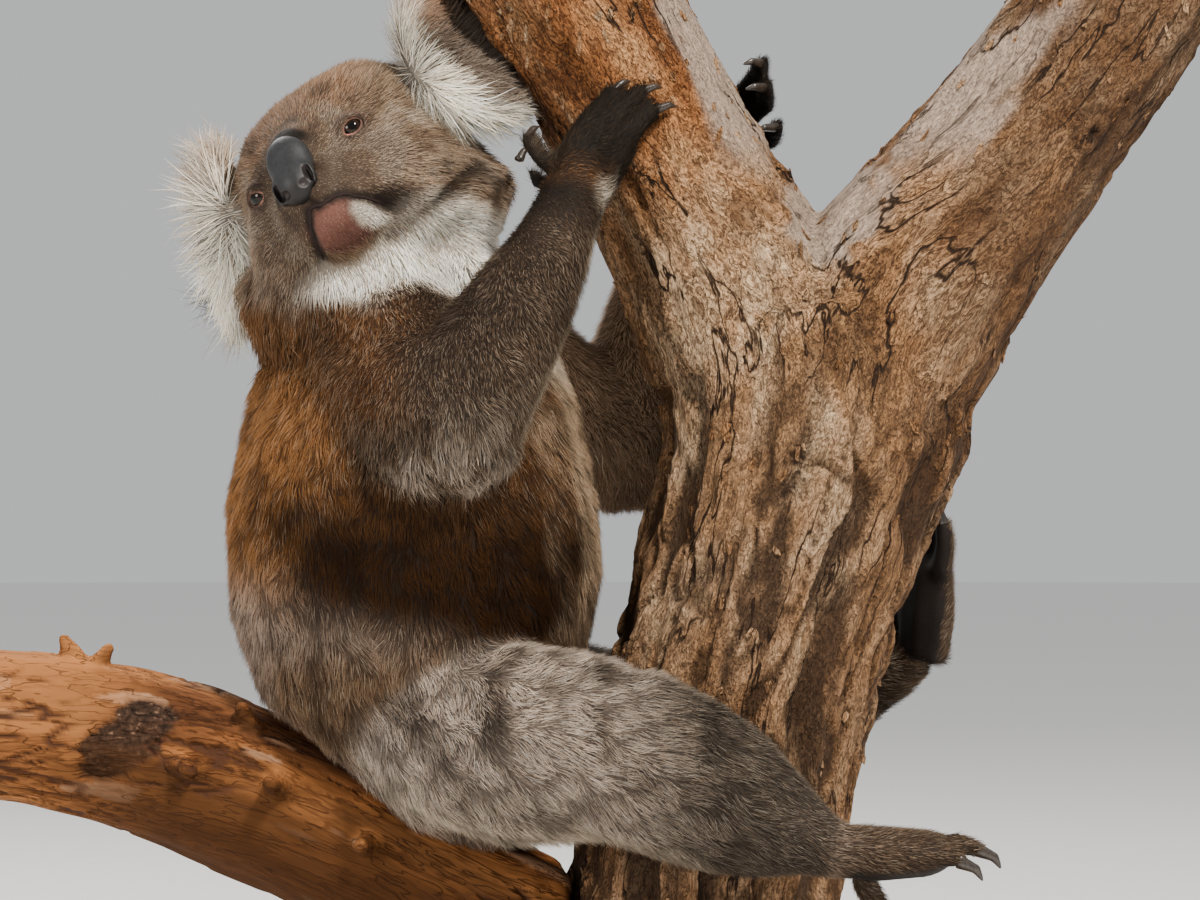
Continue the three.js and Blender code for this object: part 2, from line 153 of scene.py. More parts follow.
def triangles_of(node):
    """The corner points and the triangles of a CAD node."""
    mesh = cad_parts[node].data
    points = np.empty(len(mesh.vertices) * 3, np.float32)
    mesh.vertices.foreach_get("co", points)
    mesh.calc_loop_triangles()
    corners = np.empty(len(mesh.loop_triangles) * 3, np.int32)
    mesh.loop_triangles.foreach_get("vertices", corners)
    return points.reshape(-1, 3), corners.reshape(-1, 3).astype(np.uint32)


class Grid:
    """A box of evenly spaced samples that holds distances to surfaces (negative inside)."""

    def __init__(self, low, high, voxel, margin=4):
        self.voxel = voxel
        self.low = np.floor(np.array(low) / voxel).astype(int) - margin
        self.shape = tuple(np.ceil(np.array(high) / voxel).astype(int) + margin - self.low)

    @classmethod
    def around(cls, nodes, voxel, margin=4):
        corners = [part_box(n) for n in nodes]
        low = np.min([c[0] for c in corners], axis=0)
        high = np.max([c[1] for c in corners], axis=0)
        return cls(low, high, voxel, margin)

    def transform(self):
        return vdb.createLinearTransform(voxelSize=self.voxel)

    def distances(self, points, triangles, quads=None, band=3.0):
        level = vdb.FloatGrid.createLevelSetFromPolygons(
            points, triangles=triangles, quads=quads, transform=self.transform(), halfWidth=band
        )
        values = np.full(self.shape, band * self.voxel, np.float32)
        level.copyToArray(values, ijk=tuple(int(v) for v in self.low))
        return values

    def surface(self, values):
        """Points, triangles and quads where the values pass zero, without inner shells."""
        level = vdb.FloatGrid(float(values.max()) + self.voxel)
        level.copyFromArray(values, ijk=tuple(int(v) for v in self.low))
        level.transform = self.transform()
        points, triangles, quads = level.convertToPolygons(0.0, 0.0)
        return outer_shell(points, triangles, quads)

    def points(self):
        axes = [(np.arange(n) + low) * self.voxel for n, low in zip(self.shape, self.low)]
        return np.stack(np.meshgrid(*axes, indexing="ij"), axis=-1).reshape(-1, 3)

    def read(self, values, points):
        """The values at points, by linear steps between samples."""
        q = points / self.voxel - self.low
        q = np.clip(q, 0, np.array(self.shape) - 1.001)
        cell = q.astype(int)
        part = q - cell
        total = 0.0
        for corner in np.ndindex(2, 2, 2):
            weight = np.prod(np.where(np.array(corner) == 1, part, 1 - part), axis=1)
            at = cell + corner
            total = total + values[at[:, 0], at[:, 1], at[:, 2]] * weight
        return total


def blurred(values, radius, passes=2):
    """Values averaged over a few samples each way along each axis."""
    for _ in range(passes):
        for axis in range(3):
            wide = np.take(values, [0] * (radius + 1), axis), values, np.take(values, [-1] * radius, axis)
            sums = np.cumsum(np.concatenate(wide, axis), axis, dtype=np.float64)
            upper = np.take(sums, range(2 * radius + 1, sums.shape[axis]), axis)
            lower = np.take(sums, range(0, sums.shape[axis] - 2 * radius - 1), axis)
            values = ((upper - lower) / (2 * radius + 1)).astype(np.float32)
    return values


def outer_shell(points, triangles, quads):
    """The largest connected part of a surface, with its faces turned outwards."""
    edges = [triangles[:, [0, 1]], triangles[:, [1, 2]]] + [quads[:, [k, k + 1]] for k in range(3)]
    pairs = np.concatenate(edges).astype(np.int64)
    label = np.arange(len(points))
    while True:
        least = np.minimum(label[pairs[:, 0]], label[pairs[:, 1]])
        new = label.copy()
        np.minimum.at(new, pairs[:, 0], least)
        np.minimum.at(new, pairs[:, 1], least)
        new = new[new]
        if (new == label).all():
            break
        label = new
    main = np.bincount(label).argmax()
    keep = label == main
    index = np.cumsum(keep) - 1
    triangles = index[triangles[keep[triangles[:, 0]]]] if len(triangles) else triangles
    quads = index[quads[keep[quads[:, 0]]]] if len(quads) else quads
    points = points[keep]
    if volume(points, triangles, quads) < 0:
        triangles, quads = triangles[:, ::-1], quads[:, ::-1]
    return points, triangles.astype(np.uint32), quads.astype(np.uint32)


def volume(points, triangles, quads):
    halves = [triangles, quads[:, [0, 1, 2]], quads[:, [0, 2, 3]]]
    corners = points[np.concatenate(halves).astype(int)].astype(float)
    return np.einsum("ij,ij->i", corners[:, 0], np.cross(corners[:, 1], corners[:, 2])).sum() / 6


def united(grid, nodes, grow, band=4.0):
    """Distances to the joined nodes, each grown a little so that the cuts between them close."""
    total = None
    for node in nodes:
        values = grid.distances(*triangles_of(node), band=band) - grow
        total = values if total is None else np.minimum(total, values)
    return total


# ---- meshes and materials ----

def linked(name, data):
    """A new object in the scene for a mesh, a light or a camera."""
    piece = bpy.data.objects.new(name, data)
    bpy.context.scene.collection.objects.link(piece)
    return piece


def mesh_object(name, points, face_lists, smooth_faces=True):
    """An object from points and lists of faces; every list's faces have one length."""
    face_lists = [np.asarray(f, np.int32) for f in face_lists if len(f)]
    mesh = bpy.data.meshes.new(name)
    mesh.vertices.add(len(points))
    mesh.vertices.foreach_set("co", np.asarray(points, np.float32).ravel())
    corners = np.concatenate([f.ravel() for f in face_lists])
    sizes = np.concatenate([np.full(len(f), f.shape[1], np.int32) for f in face_lists])
    mesh.loops.add(len(corners))
    mesh.loops.foreach_set("vertex_index", corners)
    mesh.polygons.add(len(sizes))
    mesh.polygons.foreach_set("loop_start", np.concatenate([[0], np.cumsum(sizes)[:-1]]).astype(np.int32))
    mesh.polygons.foreach_set("loop_total", sizes)
    mesh.polygons.foreach_set("use_smooth", np.full(len(sizes), smooth_faces))
    mesh.update(calc_edges=True)
    return linked(name, mesh)


def paint(piece, name, colours):
    """A colour for each point of a piece, kept as an attribute that its material reads."""
    layer = piece.data.color_attributes.new(name, "FLOAT_COLOR", "POINT")
    rgba = np.ones((len(colours), 4), np.float32)
    rgba[:, :3] = colours
    layer.data.foreach_set("color", rgba.ravel())


def shade(piece, name, values):
    """A number for each point of a piece, kept as an attribute that its material reads."""
    layer = piece.data.attributes.new(name, "FLOAT", "POINT")
    layer.data.foreach_set("value", np.asarray(values, np.float32))


def finish_piece(piece, material, replaced=()):
    piece.data.materials.clear()
    piece.data.materials.append(material)
    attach(piece, ROOT)
    if replaced:
        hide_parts(*replaced)
    return piece


def add_node(tree, kind_name, inputs=None, **settings):
    """A new node in a tree, with its settings, and with each input linked or given a value."""
    node = tree.nodes.new(kind_name)
    for key, value in settings.items():
        setattr(node, key, value)
    for key, value in (inputs or {}).items():
        if isinstance(value, bpy.types.NodeSocket):
            tree.links.new(value, node.inputs[key])
        else:
            node.inputs[key].default_value = value
    return node


class Nodes:
    """A material's node tree, with short calls that add and join its nodes."""

    def __init__(self, name, roughness=0.6, **sockets):
        self.material = bpy.data.materials.new(name)
        self.material.use_nodes = True
        self.tree = self.material.node_tree
        self.shader = self.tree.nodes["Principled BSDF"]
        self.shader.inputs["Roughness"].default_value = roughness
        for socket, value in sockets.items():
            self.shader.inputs[socket.replace("_", " ")].default_value = value

    def add(self, kind_name, inputs=None, **settings):
        return add_node(self.tree, kind_name, inputs, **settings)

    def link(self, output, socket):
        self.tree.links.new(output, self.shader.inputs[socket])

    def coords(self, scale=(1, 1, 1)):
        place = self.add("ShaderNodeTexCoord")
        return self.add("ShaderNodeMapping", {"Vector": place.outputs["Object"], "Scale": scale}).outputs[0]

    def noise(self, vector, scale, detail=4.0, roughness=0.55):
        settings = {"Vector": vector, "Scale": scale, "Detail": detail, "Roughness": roughness}
        return self.add("ShaderNodeTexNoise", settings).outputs["Fac"]

    def ramp(self, factor, stops):
        node = self.add("ShaderNodeValToRGB", {"Fac": factor})
        ramp = node.color_ramp
        while len(ramp.elements) < len(stops):
            ramp.elements.new(0.5)
        for element, (place, colour) in zip(ramp.elements, stops):
            element.position = place
            element.color = (*colour, 1) if len(colour) == 3 else colour
        return node.outputs["Color"]

    def steps(self, value, edges, rise):
        """Heights that step up at the edges, and a shade with a painted shadow as a dark line under each step
        and a painted highlight along its edge.
        """
        heights, shades = [], []
        for k, edge in enumerate(edges):
            heights += [(edge - 0.006, (k * rise,) * 3), (edge + 0.006, ((k + 1) * rise,) * 3)]
            shades += [(edge - 0.03, (0.95,) * 3), (edge - 0.008, (0.34, 0.29, 0.26))]
            shades += [(edge + 0.006, (1.25, 1.22, 1.18))]
        return self.ramp(value, heights), self.ramp(value, shades + [(edges[-1] + 0.04, (1, 1, 1))])

    def mix(self, factor, a, b, blend="MIX"):
        a, b = ((*c, 1) if isinstance(c, tuple) else c for c in (a, b))
        inputs = {0: factor, 6: a, 7: b}
        return self.add("ShaderNodeMix", inputs, data_type="RGBA", blend_type=blend).outputs[2]

    def math(self, operation, a, b=0.0):
        return self.add("ShaderNodeMath", {0: a, 1: b}, operation=operation).outputs[0]

    def attribute(self, name, output="Color"):
        return self.add("ShaderNodeAttribute", attribute_name=name).outputs[output]

    def bump(self, height, strength, distance):
        node = self.add("ShaderNodeBump", {"Height": height, "Strength": strength, "Distance": distance})
        self.link(node.outputs["Normal"], "Normal")
        return node


# ---- the skin ----

# The way the coat lies on each part: towards the paws on the limbs, down on the body.
LIE = {
    "neck": (0.1, -0.2, -1.0),
    "chest": (0.15, 0.0, -1.0),
    "rump": (0.25, 0.0, -1.0),
    "upper_arm_right": (0.1, -0.3, -1.0),
    "upper_arm_left": (0.35, 0.2, -1.0),
    "forearm_right": (0.35, -0.2, -0.9),
    "forearm_left": (0.2, 0.1, -1.0),
    "hand_right": (0.55, 0.1, 0.85),
    "hand_left": (0.45, -0.5, 0.8),
    "thigh_right": (0.85, -0.1, -0.5),
    "thigh_left": (0.8, 0.2, -0.55),
    "shank_right": (0.9, 0.0, -0.45),
    "shank_left": (0.85, -0.25, -0.2),
    "foot_right": (1.0, 0.1, -0.1),
    "foot_left": (0.2, -0.3, 0.95),
}
# The eye's opening, its ball, the mound of lids round it, and the hole and socket in the skin.
EYE_HALF = (0.0066, 0.0041)
EYE_BALL = 0.0076
LID_MOUND = 0.0106
LID_HOLE = 0.0047
LID_EDGE = 0.0102
LID_RIM = (0.12, 0.066, 0.05)
LID_PINK = (0.4, 0.17, 0.13)
LID_OUTER = (0.03, 0.02, 0.015)
SOCKET = 0.008
SKIN_VOXEL = 0.0029


def centre(node):
    low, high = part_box(node)
    return np.array((low + high) / 2)


class Body:
    """The animal as distances on grids: which part is near, how deep the skin lies, and where."""

    def __init__(self):
        self.rough = Grid.around(FLESH, 0.008, margin=6)
        self.parts = [self.rough.distances(*triangles_of(n), band=7) for n in FLESH]
        self.wood = self.rough.distances(*joined_triangles(WOOD + ["perch_branch"]), band=7)
        self.table = np.array([COAT[kind(n)] for n in FLESH])
        self.fine = Grid.around(FLESH, SKIN_VOXEL, margin=6)
        self.field = self.skin_field()

    def shares(self, points):
        """How much of each flesh node is at each point: rows add up to 1."""
        near = np.stack([self.rough.read(p, points) for p in self.parts], axis=1)
        near = np.exp(-(near - near.min(axis=1, keepdims=True)) / 0.011)
        return near / near.sum(axis=1, keepdims=True)

    def depth(self, points):
        """How far below the tips of the coat the skin lies."""
        depth = self.shares(points) @ self.table[:, 0] * MM
        depth = np.where(on_head(points) > 0.5, face_depth(points), depth)
        return depth * (1 - 0.8 * near_thumbs(points))

    def skin_field(self):
        grid = self.fine
        joined = united(grid, FLESH + EYES + ["nose"], 0.0013)
        points, triangles, quads = grid.surface(joined)
        solid = grid.distances(points, triangles, quads, band=9)
        soft = blurred(solid, 1, 2)
        spots = self.rough.points()
        paws = [FLESH.index(n) for n in FLESH if kind(n) in ("hand", "foot")]
        shares = self.shares(spots)
        paw = stretched(self.rough, shares[:, paws].sum(axis=1), grid)
        depth = stretched(self.rough, self.depth(spots), grid)
        field = soft + (solid - soft) * paw + depth
        for side in (1, -1):
            field = np.minimum(field, ear_field(grid, side))
        self.lines = [self.settled(line, field) for line in FACE_LINES]
        field = self.with_face(grid, field)
        self.lines = [self.settled(line, field) for line in FACE_LINES]
        return field

    def settled(self, line, field):
        """A line of places in the head's frame, brought onto the skin in short steps."""
        spots = from_head(drawn_out(np.array(line, float), 4 * (len(line) - 1) + 1))
        for _ in range(8):
            value = self.fine.read(field, spots)
            steps = np.eye(3) * 0.003
            slope = np.stack(
                [self.fine.read(field, spots + d) - self.fine.read(field, spots - d) for d in steps], axis=1
            )
            slope /= np.linalg.norm(slope, axis=1, keepdims=True)
            spots = spots - slope * value[:, None] * 0.7
        return in_head(spots)

    def with_face(self, grid, field):
        """The field with the face's lines, and with a mound and a socket for each eye."""
        points = grid.points()
        q = in_head(points)
        near = np.nonzero((q[:, 0] > -20) & (np.abs(q).max(axis=1) < 115))[0]
        values = field.reshape(-1).copy()
        values[near] += face_form(q[near], self.lines)
        for node in EYES:
            middle, out, along, up = eye_frame(node)
            rel = points[near] - middle
            ball = np.linalg.norm(rel, axis=1)
            joined = soft_min(values[near] / MM, (ball - LID_MOUND) / MM, 3.0) * MM
            values[near] = np.where(ball < 0.03, joined, values[near])
            flat = np.sqrt((rel @ along / 1.55) ** 2 + (rel @ up) ** 2) - LID_HOLE
            hole = np.maximum(flat, -rel @ out)
            hole = np.minimum(hole, ball - SOCKET)
            values[near] = np.maximum(values[near], -hole)
        return values.reshape(field.shape)


def stretched(rough, values, grid):
    """Values of a rough grid read at every sample of a finer one."""
    values = np.asarray(values, np.float32).reshape(rough.shape)
    for axis in range(3):
        at = (np.arange(grid.shape[axis]) + grid.low[axis]) * grid.voxel / rough.voxel - rough.low[axis]
        at = np.clip(at, 0, rough.shape[axis] - 1.001)
        cell = at.astype(int)
        part = (at - cell).astype(np.float32).reshape([-1 if a == axis else 1 for a in range(3)])
        values = np.take(values, cell, axis) * (1 - part) + np.take(values, cell + 1, axis) * part
    return values


def joined_triangles(nodes):
    parts = [triangles_of(n) for n in nodes]
    starts = np.cumsum([0] + [len(p) for p, _ in parts[:-1]])
    return np.concatenate([p for p, _ in parts]), np.concatenate(
        [(t + s).astype(np.uint32) for (_, t), s in zip(parts, starts)]
    )


EAR_AT = np.array((-12.0, 95.0, 44.0))
# How far each ear turns about the head's upright, leans inwards and rolls, in degrees.
EAR_TURNS = {1: (58, 0, 0), -1: (-58, -15, -25)}
EAR_HALF = {1: (9.0, 38.0, 48.0), -1: (10.0, 38.0, 51.0)}


def ear_axes(side):
    """The ear's own axes in the head's frame: out of its bowl, to the left along it, and up it."""
    turn, lean, roll = (math.radians(a) for a in EAR_TURNS[side])
    turned = Matrix.Rotation(turn, 3, "Z") @ Matrix.Rotation(lean, 3, "Y") @ Matrix.Rotation(roll, 3, "X")
    return np.array(turned).T


def in_ear(points, side):
    """Points given in an ear's own frame, in millimetres."""
    return (in_head(points) - EAR_AT * (1, side, 1)) @ ear_axes(side).T


def ear_pit(side):
    """The hollow at the foot of an ear, painted dark as shade, in the ear's own frame."""
    return np.array((4.0, -26.0 * side, 2.0))


def ear_field(grid, side):
    """The thin cupped leaf of an ear: rough distances to an oval with a hollow in it."""
    points = grid.points()
    q = in_ear(points, side)
    near = np.abs(q).max(axis=1) < 80
    values = np.full(len(points), 0.02, np.float32)
    q = q[near]
    half = np.array(EAR_HALF[side])
    leaf = (np.linalg.norm(q / half, axis=1) - 1) * half[0]
    bowl_half = np.array((13.0, 27.0, 35.0))
    bowl = (np.linalg.norm((q - (15.0, 0, 0)) / bowl_half, axis=1) - 1) * bowl_half[0]
    values[near] = np.maximum(leaf, -bowl) * MM
    return values.reshape(grid.shape)


# Places of the face, and the lines of the mouth and cheeks, in the head's frame in millimetres.
MUZZLE_AT = (84, 0, -8)
NOSE_AT = (84, -1, -3)
NOSE_HALF = (22, 15, 24.5)
LIP_NEAR = (
    (84, 1, -32), (82.4, 4.4, -33.4), (80.5, 10.6, -32.8), (76.7, 16.6, -31.5), (72, 21.2, -32),
    (67.4, 24.6, -34.6), (58.2, 27.5, -37.1), (50.9, 30.2, -42.3), (45, 34, -47),
)
LIP_FAR = (
    (84, -1, -32), (82, -4.9, -34.2), (77.6, -9.4, -38.7), (72.9, -13, -43.9), (63.8, -17.6, -45.6),
    (50, -23, -49),
)
CHEEK_LINE = ((2, 78, -33), (24, 54, -53), (29, 34, -56), (29, 21, -54))
FACE_LINES = (LIP_NEAR, LIP_FAR, CHEEK_LINE)
CHIN_AT = np.array((69.0, 7.0, -45.0))
CHIN_HALF = np.array((20.0, 20.0, 13.0))
EYES_AT = {1: in_head(centre("eye_left")[None])[0], -1: in_head(centre("eye_right")[None])[0]}
# Where the near hand's thumbs are, and how far round them the coat's form and colour change, in metres.
THUMBS_AT = np.array((-0.05, -0.085, 0.622))
THUMBS_REACH = 0.022
THUMBS_SHADE = 0.024


def drawn_out(line, count):
    """Places at even steps along a line that goes through a few places."""
    at = np.linspace(0, len(line) - 1, count)
    return np.stack([np.interp(at, np.arange(len(line)), line[:, k]) for k in range(3)], axis=1)


def muzzle_reach(q):
    """How far points of the head's frame are from the middle of the muzzle, in millimetres."""
    return np.linalg.norm((q - MUZZLE_AT) * (1, 0.9, 1), axis=1)


def chin_reach(q):
    """How far points of the head's frame are from the middle of the chin: 1 on its edge."""
    return oval_reach(q, CHIN_AT, CHIN_HALF)


def from_line(q, line):
    """The distance of each point from a line through a few places."""
    best = np.full(len(q), np.inf)
    for a, b in zip(np.array(line[:-1], float), np.array(line[1:], float)):
        t = np.clip((q - a) @ (b - a) / ((b - a) @ (b - a)), 0, 1)
        best = np.minimum(best, np.linalg.norm(q - a - t[:, None] * (b - a), axis=1))
    return best


def face_form(q, lines):
    """How far the face's skin sinks into lines and swells into lips and cheeks, in metres."""
    near, far, cheek = (from_line(q, line) for line in lines)
    form = 4.2 * bell(near, 3.8) + 3.6 * bell(far, 3.8) + 5.0 * bell(cheek, 7.0)
    form -= 4.0 * bell(chin_reach(q), 0.85)
    form -= 3.0 * bell(np.linalg.norm(q - (45, 52, -38), axis=1), 20)
    form -= 1.6 * bell(np.linalg.norm(q - (62, 26, -20), axis=1), 14)
    form += 6.0 * smooth(0.98, 0.72, nose_reach(q))
    for side in (1, -1):
        form += 1.6 * bell(np.linalg.norm(q - (68, 22 * side, 6), axis=1), 9)
    return form * MM


def near_thumbs(points, reach=THUMBS_REACH):
    """1 at the near hand's thumbs and 0 well away from them."""
    return bell(np.linalg.norm(points - THUMBS_AT, axis=1), reach)


def on_head(points):
    """1 on the head and 0 well away from it."""
    q = in_head(points)
    return 1 - smooth(0.95, 1.15, np.linalg.norm((q + (0, 0, -2)) / (108, 106, 98), axis=1))


def face_depth(points):
    """The skin's depth on the head: least round the nose, eyes and mouth, most at the cheeks."""
    q = in_head(points)
    depth = 1.6 + 5.4 * smooth(18, 95, muzzle_reach(q))
    eyes = np.minimum(*(np.linalg.norm(q - (52, 36 * side, 12), axis=1) for side in (1, -1)))
    depth = depth - (depth - 1.4) * (1 - smooth(10, 26, eyes))
    return depth * MM


BODY = {}


def body():
    """The one Body, made when it is first asked for."""
    if not BODY:
        BODY["it"] = Body()
    return BODY["it"]


# ---- the markings ----

FACE = (0.17, 0.117, 0.078)
FOREHEAD = (0.19, 0.109, 0.064)
FACE_GREY = (0.235, 0.18, 0.135)
FACE_DARK = (0.08, 0.05, 0.032)
CHEEK_SHADE = (0.244, 0.173, 0.122)
CHIN_PINK = (0.2, 0.092, 0.072)
LINE_DARK = (0.02, 0.013, 0.01)
PATCH = (0.95, 0.86, 0.74)
NOSE_DARK = (0.004, 0.003, 0.0025)
GOLD = (0.3, 0.195, 0.115)
SPECKLE = (0.06, 0.045, 0.035)
EYE_RIM = (0.1, 0.065, 0.05)
RUFF = (0.967, 0.884, 0.759)
EAR_GREY = (0.125, 0.096, 0.076)
EAR_PIT_SHADE = (0.035, 0.026, 0.02)
EAR_WHITE = (0.88, 0.81, 0.68)
EAR_BROWN = (0.24, 0.135, 0.08)
SHOULDER = (0.111, 0.052, 0.0215)
BACK_RUST = (0.29, 0.13, 0.045)
FLANK_AND_SHADE = (0.028, 0.0115, 0.0035)
RUMP_GREY = (0.25, 0.185, 0.142)
BACK_DEEP = (0.06, 0.025, 0.008)
RUMP_BROWN = (0.13, 0.08, 0.047)
BELLY = (0.351, 0.243, 0.155)
BREAST = (0.6, 0.52, 0.42)
ARM = (0.07, 0.046, 0.03)
ARM_PALE = (0.4, 0.33, 0.245)
HAND = (0.011, 0.0075, 0.005)
FAR_ARM_PAINTED_LIGHT = (0.45, 0.3, 0.195)
FRINGE = (0.208, 0.164, 0.128)
THUMB = (0.045, 0.032, 0.022)
THIGH = (0.36, 0.292, 0.238)
SHANK = (0.07, 0.054, 0.041)
LEG_DARK = (0.06, 0.042, 0.03)
LEG_PALE = (0.42, 0.35, 0.26)
FOOT = (0.07, 0.047, 0.031)


def blend(colours, other, amount):
    """Colours turned towards another colour by an amount for each point."""
    return colours + (np.asarray(other) - colours) * np.clip(amount, 0, 1)[:, None]


def oval_reach(points, middle, half):
    """How far points are from the middle of an oval: 1 on its edge."""
    return np.linalg.norm((points - middle) / half, axis=1)


def lip_distance(head):
    """The distance of points of the head's frame from the line of the mouth."""
    near, far, _ = body().lines
    best = np.full(len(head), 99.0)
    rows = np.linalg.norm(head - (60, 0, -40), axis=1) < 60
    best[rows] = np.minimum(from_line(head[rows], near), from_line(head[rows], far))
    return best


def nose_reach(head):
    """How far points of the head's frame are from the nose pad: 1 on its edge."""
    return oval_reach(head, NOSE_AT, NOSE_HALF)


def eye_distance(head):
    """The distance of points of the head's frame from the middle of the nearer eye."""
    return np.minimum(*(np.linalg.norm(head - at, axis=1) for at in EYES_AT.values()))


def share_of(shares, *kinds):
    return shares[:, [i for i, n in enumerate(FLESH) if kind(n) in kinds]].sum(axis=1)


def torso_colours(points, normals, wave):
    """The rust back over dark flanks deepened with painted shade, a grey rump and a pale belly."""
    x, _, z = points.T / MM
    nx, ny, _ = normals.T
    colours = np.tile(np.array(SHOULDER), (len(points), 1))
    colours = blend(colours, BACK_RUST, smooth(508, 450, z + wave[:, 0] * 14) * smooth(-110, -190, x))
    band = bell(z - 405 - 0.3 * (x + 200) + wave[:, 1] * 12, 26)
    colours = blend(colours, BACK_DEEP, band * smooth(-240, -190, x) * 0.8)
    # The flanks' own dark brown, deepened to near black with painted shade.
    colours = blend(colours, FLANK_AND_SHADE, smooth(430, 380, z + wave[:, 1] * 18) * smooth(-215, -170, x))
    colours = blend(colours, RUMP_GREY, smooth(362, 300, z + wave[:, 2] * 14 + (x + 150) * 0.35))
    hip = smooth(-222, -190, x) * smooth(335, 305, z) * smooth(240, 270, z + wave[:, 0] * 12)
    colours = blend(colours, RUMP_BROWN, hip * smooth(0.1, -0.5, ny))
    colours = blend(colours, BELLY, smooth(0.7, 0.97, nx + wave[:, 0] * 0.1) * smooth(530, 500, z))
    return blend(colours, BREAST, smooth(0.5, 0.9, nx) * smooth(470, 520, z))


def arm_colours(points, normals, wave):
    """Brown-grey arms, paler inside, with painted light making the far arm pale, and a fringe at the elbow.
    """
    x, y, z = points.T / MM
    nx, ny, nz = normals.T
    colours = np.tile(np.array(ARM), (len(points), 1))
    inner = np.where(y < 0, ny, -ny) * 0.6 + nx * 0.6
    colours = blend(colours, ARM_PALE, smooth(0.35, 0.85, inner + wave[:, 0] * 0.15) * 0.8)
    elbow = bell(z - 432, 26) * smooth(0.55, -0.1, nz) * smooth(-150, -110, x)
    colours = blend(colours, FRINGE, elbow * smooth(-0.35, 0.25, ragged(points, 0.018)))
    # Painted light: the far arm, which lies in the body's shade, is made much paler so that it reads bright.
    colours = blend(colours, FAR_ARM_PAINTED_LIGHT, smooth(-20, 20, y))
    colours = blend(colours, SHOULDER, smooth(-92, -140, x + wave[:, 0] * 14) * smooth(440, 470, z))
    return blend(colours, HAND, smooth(560, 600, z) * 0.85)


def leg_colours(points, normals, wave):
    """Tangled grey thighs that darken down the shanks, pale underneath."""
    x = points[:, 0] / MM
    nz = normals[:, 2]
    colours = np.tile(np.array(THIGH), (len(points), 1))
    tangle = smooth(0.1, 0.75, ragged(points, 0.022))
    colours = blend(colours, LEG_DARK, tangle * smooth(-0.5, 0.6, nz + 0.3) * 0.8)
    colours = blend(colours, SHANK, smooth(-50, 75, x + wave[:, 1] * 25))
    colours = blend(colours, LEG_PALE, smooth(-0.3, -0.9, nz + wave[:, 0] * 0.2) * smooth(90, -20, x) * 0.6)
    return blend(colours, FOOT, smooth(118, 150, x) * smooth(0.5, -0.5, nz))


def cheek_colours(points, head, wave):
    """The patchy brown-grey of the face, shaded on the cheeks, and the pale ruff below."""
    front, left, up = head.T
    across = np.abs(left)
    patches = ragged(points, 0.016)
    face = np.tile(np.array(FACE), (len(points), 1))
    face = blend(face, FOREHEAD, smooth(10, 50, up) * smooth(62, 30, across))
    face = blend(face, CHEEK_SHADE, smooth(-4, -34, up - front * 0.1) * smooth(26, 60, across))
    face = blend(face, CHEEK_SHADE, smooth(10, -40, front) * smooth(62, 80, across) * 0.5)
    face = blend(face, FACE_GREY, smooth(0.0, 0.6, patches) * smooth(60, 20, up))
    face = blend(face, FACE_DARK, smooth(0.1, 0.7, -patches) * 0.8)
    # Painted shade: a dark band along the jaw.
    jaw_shade = bell(up + 26 + 0.25 * (across - 60), 13) * smooth(34, 56, across) * smooth(60, 35, front)
    face = blend(face, LINE_DARK, jaw_shade * smooth(-0.4, 0.4, patches) * 0.5)
    pale = smooth(-48, -62, up + wave[:, 0] * 5) * smooth(-80, -45, front)
    return blend(face, RUFF, pale * (1 - smooth(30, 50, front) * smooth(-78, -60, up)))


def muzzle_colours(face, head, wave, fine):
    """The face's colours with the chin, the lips, the nose's surround and the eye rims over them."""
    _, left, up = head.T
    face = blend(face, GOLD, bell(oval_reach(head, (62, -1, -56), (22, 22, 12)), 1.0))
    face = blend(face, CHIN_PINK, smooth(1.35, 1.0, chin_reach(head)))
    patch = oval_reach(head, (58, 23, -44), (13, 8, 7))
    face = blend(face, PATCH, smooth(1.5, 0.75, patch + 0.3 * fine[:, 1]))
    face = blend(face, LINE_DARK, bell(np.maximum(lip_distance(head) - 2.0, 0), 2.0) * 0.98)
    face = blend(face, LINE_DARK, bell(from_line(head, body().lines[2]), 7.5) * 0.85)
    pad = nose_reach(head)
    # A crescent over the top of the nose: dark fur, deepened with painted shadow.
    face = blend(face, NOSE_DARK, smooth(1.56, 1.34, pad) * smooth(-10, 6, up - 0.8 * left) * 0.93)
    corner = oval_reach(head, (50, 36, -40), (14, 11, 7))
    face = blend(face, LINE_DARK, smooth(1.4, 0.7, corner + 0.3 * wave[:, 2]) * 0.75)
    face = blend(face, NOSE_DARK, smooth(1.04, 0.94, pad))
    face = blend(face, SPECKLE, bell(oval_reach(head, (80, 15, 2), (1, 1, 1)), 7) * 0.5)
    return blend(face, EYE_RIM, bell(eye_distance(head) - 10.0, 2.4) * 0.7)


def ear_colours(face, points, head, wave):
    """The face's colours with both ears laid over them: pits darkened with painted shade, pale rims and a
    brown edge.
    """
    for side in (1, -1):
        q = in_ear(points, side)
        reach = np.linalg.norm(q / (30, 40, 50), axis=1)
        ear = smooth(1.3, 1.05, reach) * smooth(60, 76, np.abs(head[:, 1]))
        hair = np.tile(np.array(EAR_GREY if side == 1 else EAR_WHITE), (len(points), 1))
        hair = blend(hair, EAR_WHITE, smooth(0.72, 1.0, reach + wave[:, 1] * 0.2))
        hair = blend(hair, EAR_BROWN, bell(q[:, 2] - 34, 16) * smooth(12, -12, q[:, 1] * side) * 0.7)
        pit = np.linalg.norm(q - ear_pit(side), axis=1)
        # Painted shade in the hollow at the foot of the ear.
        hair = blend(hair, EAR_PIT_SHADE, bell(pit, 19 if side == 1 else 12) * 0.9)
        face = blend(face, hair, ear)
    return face


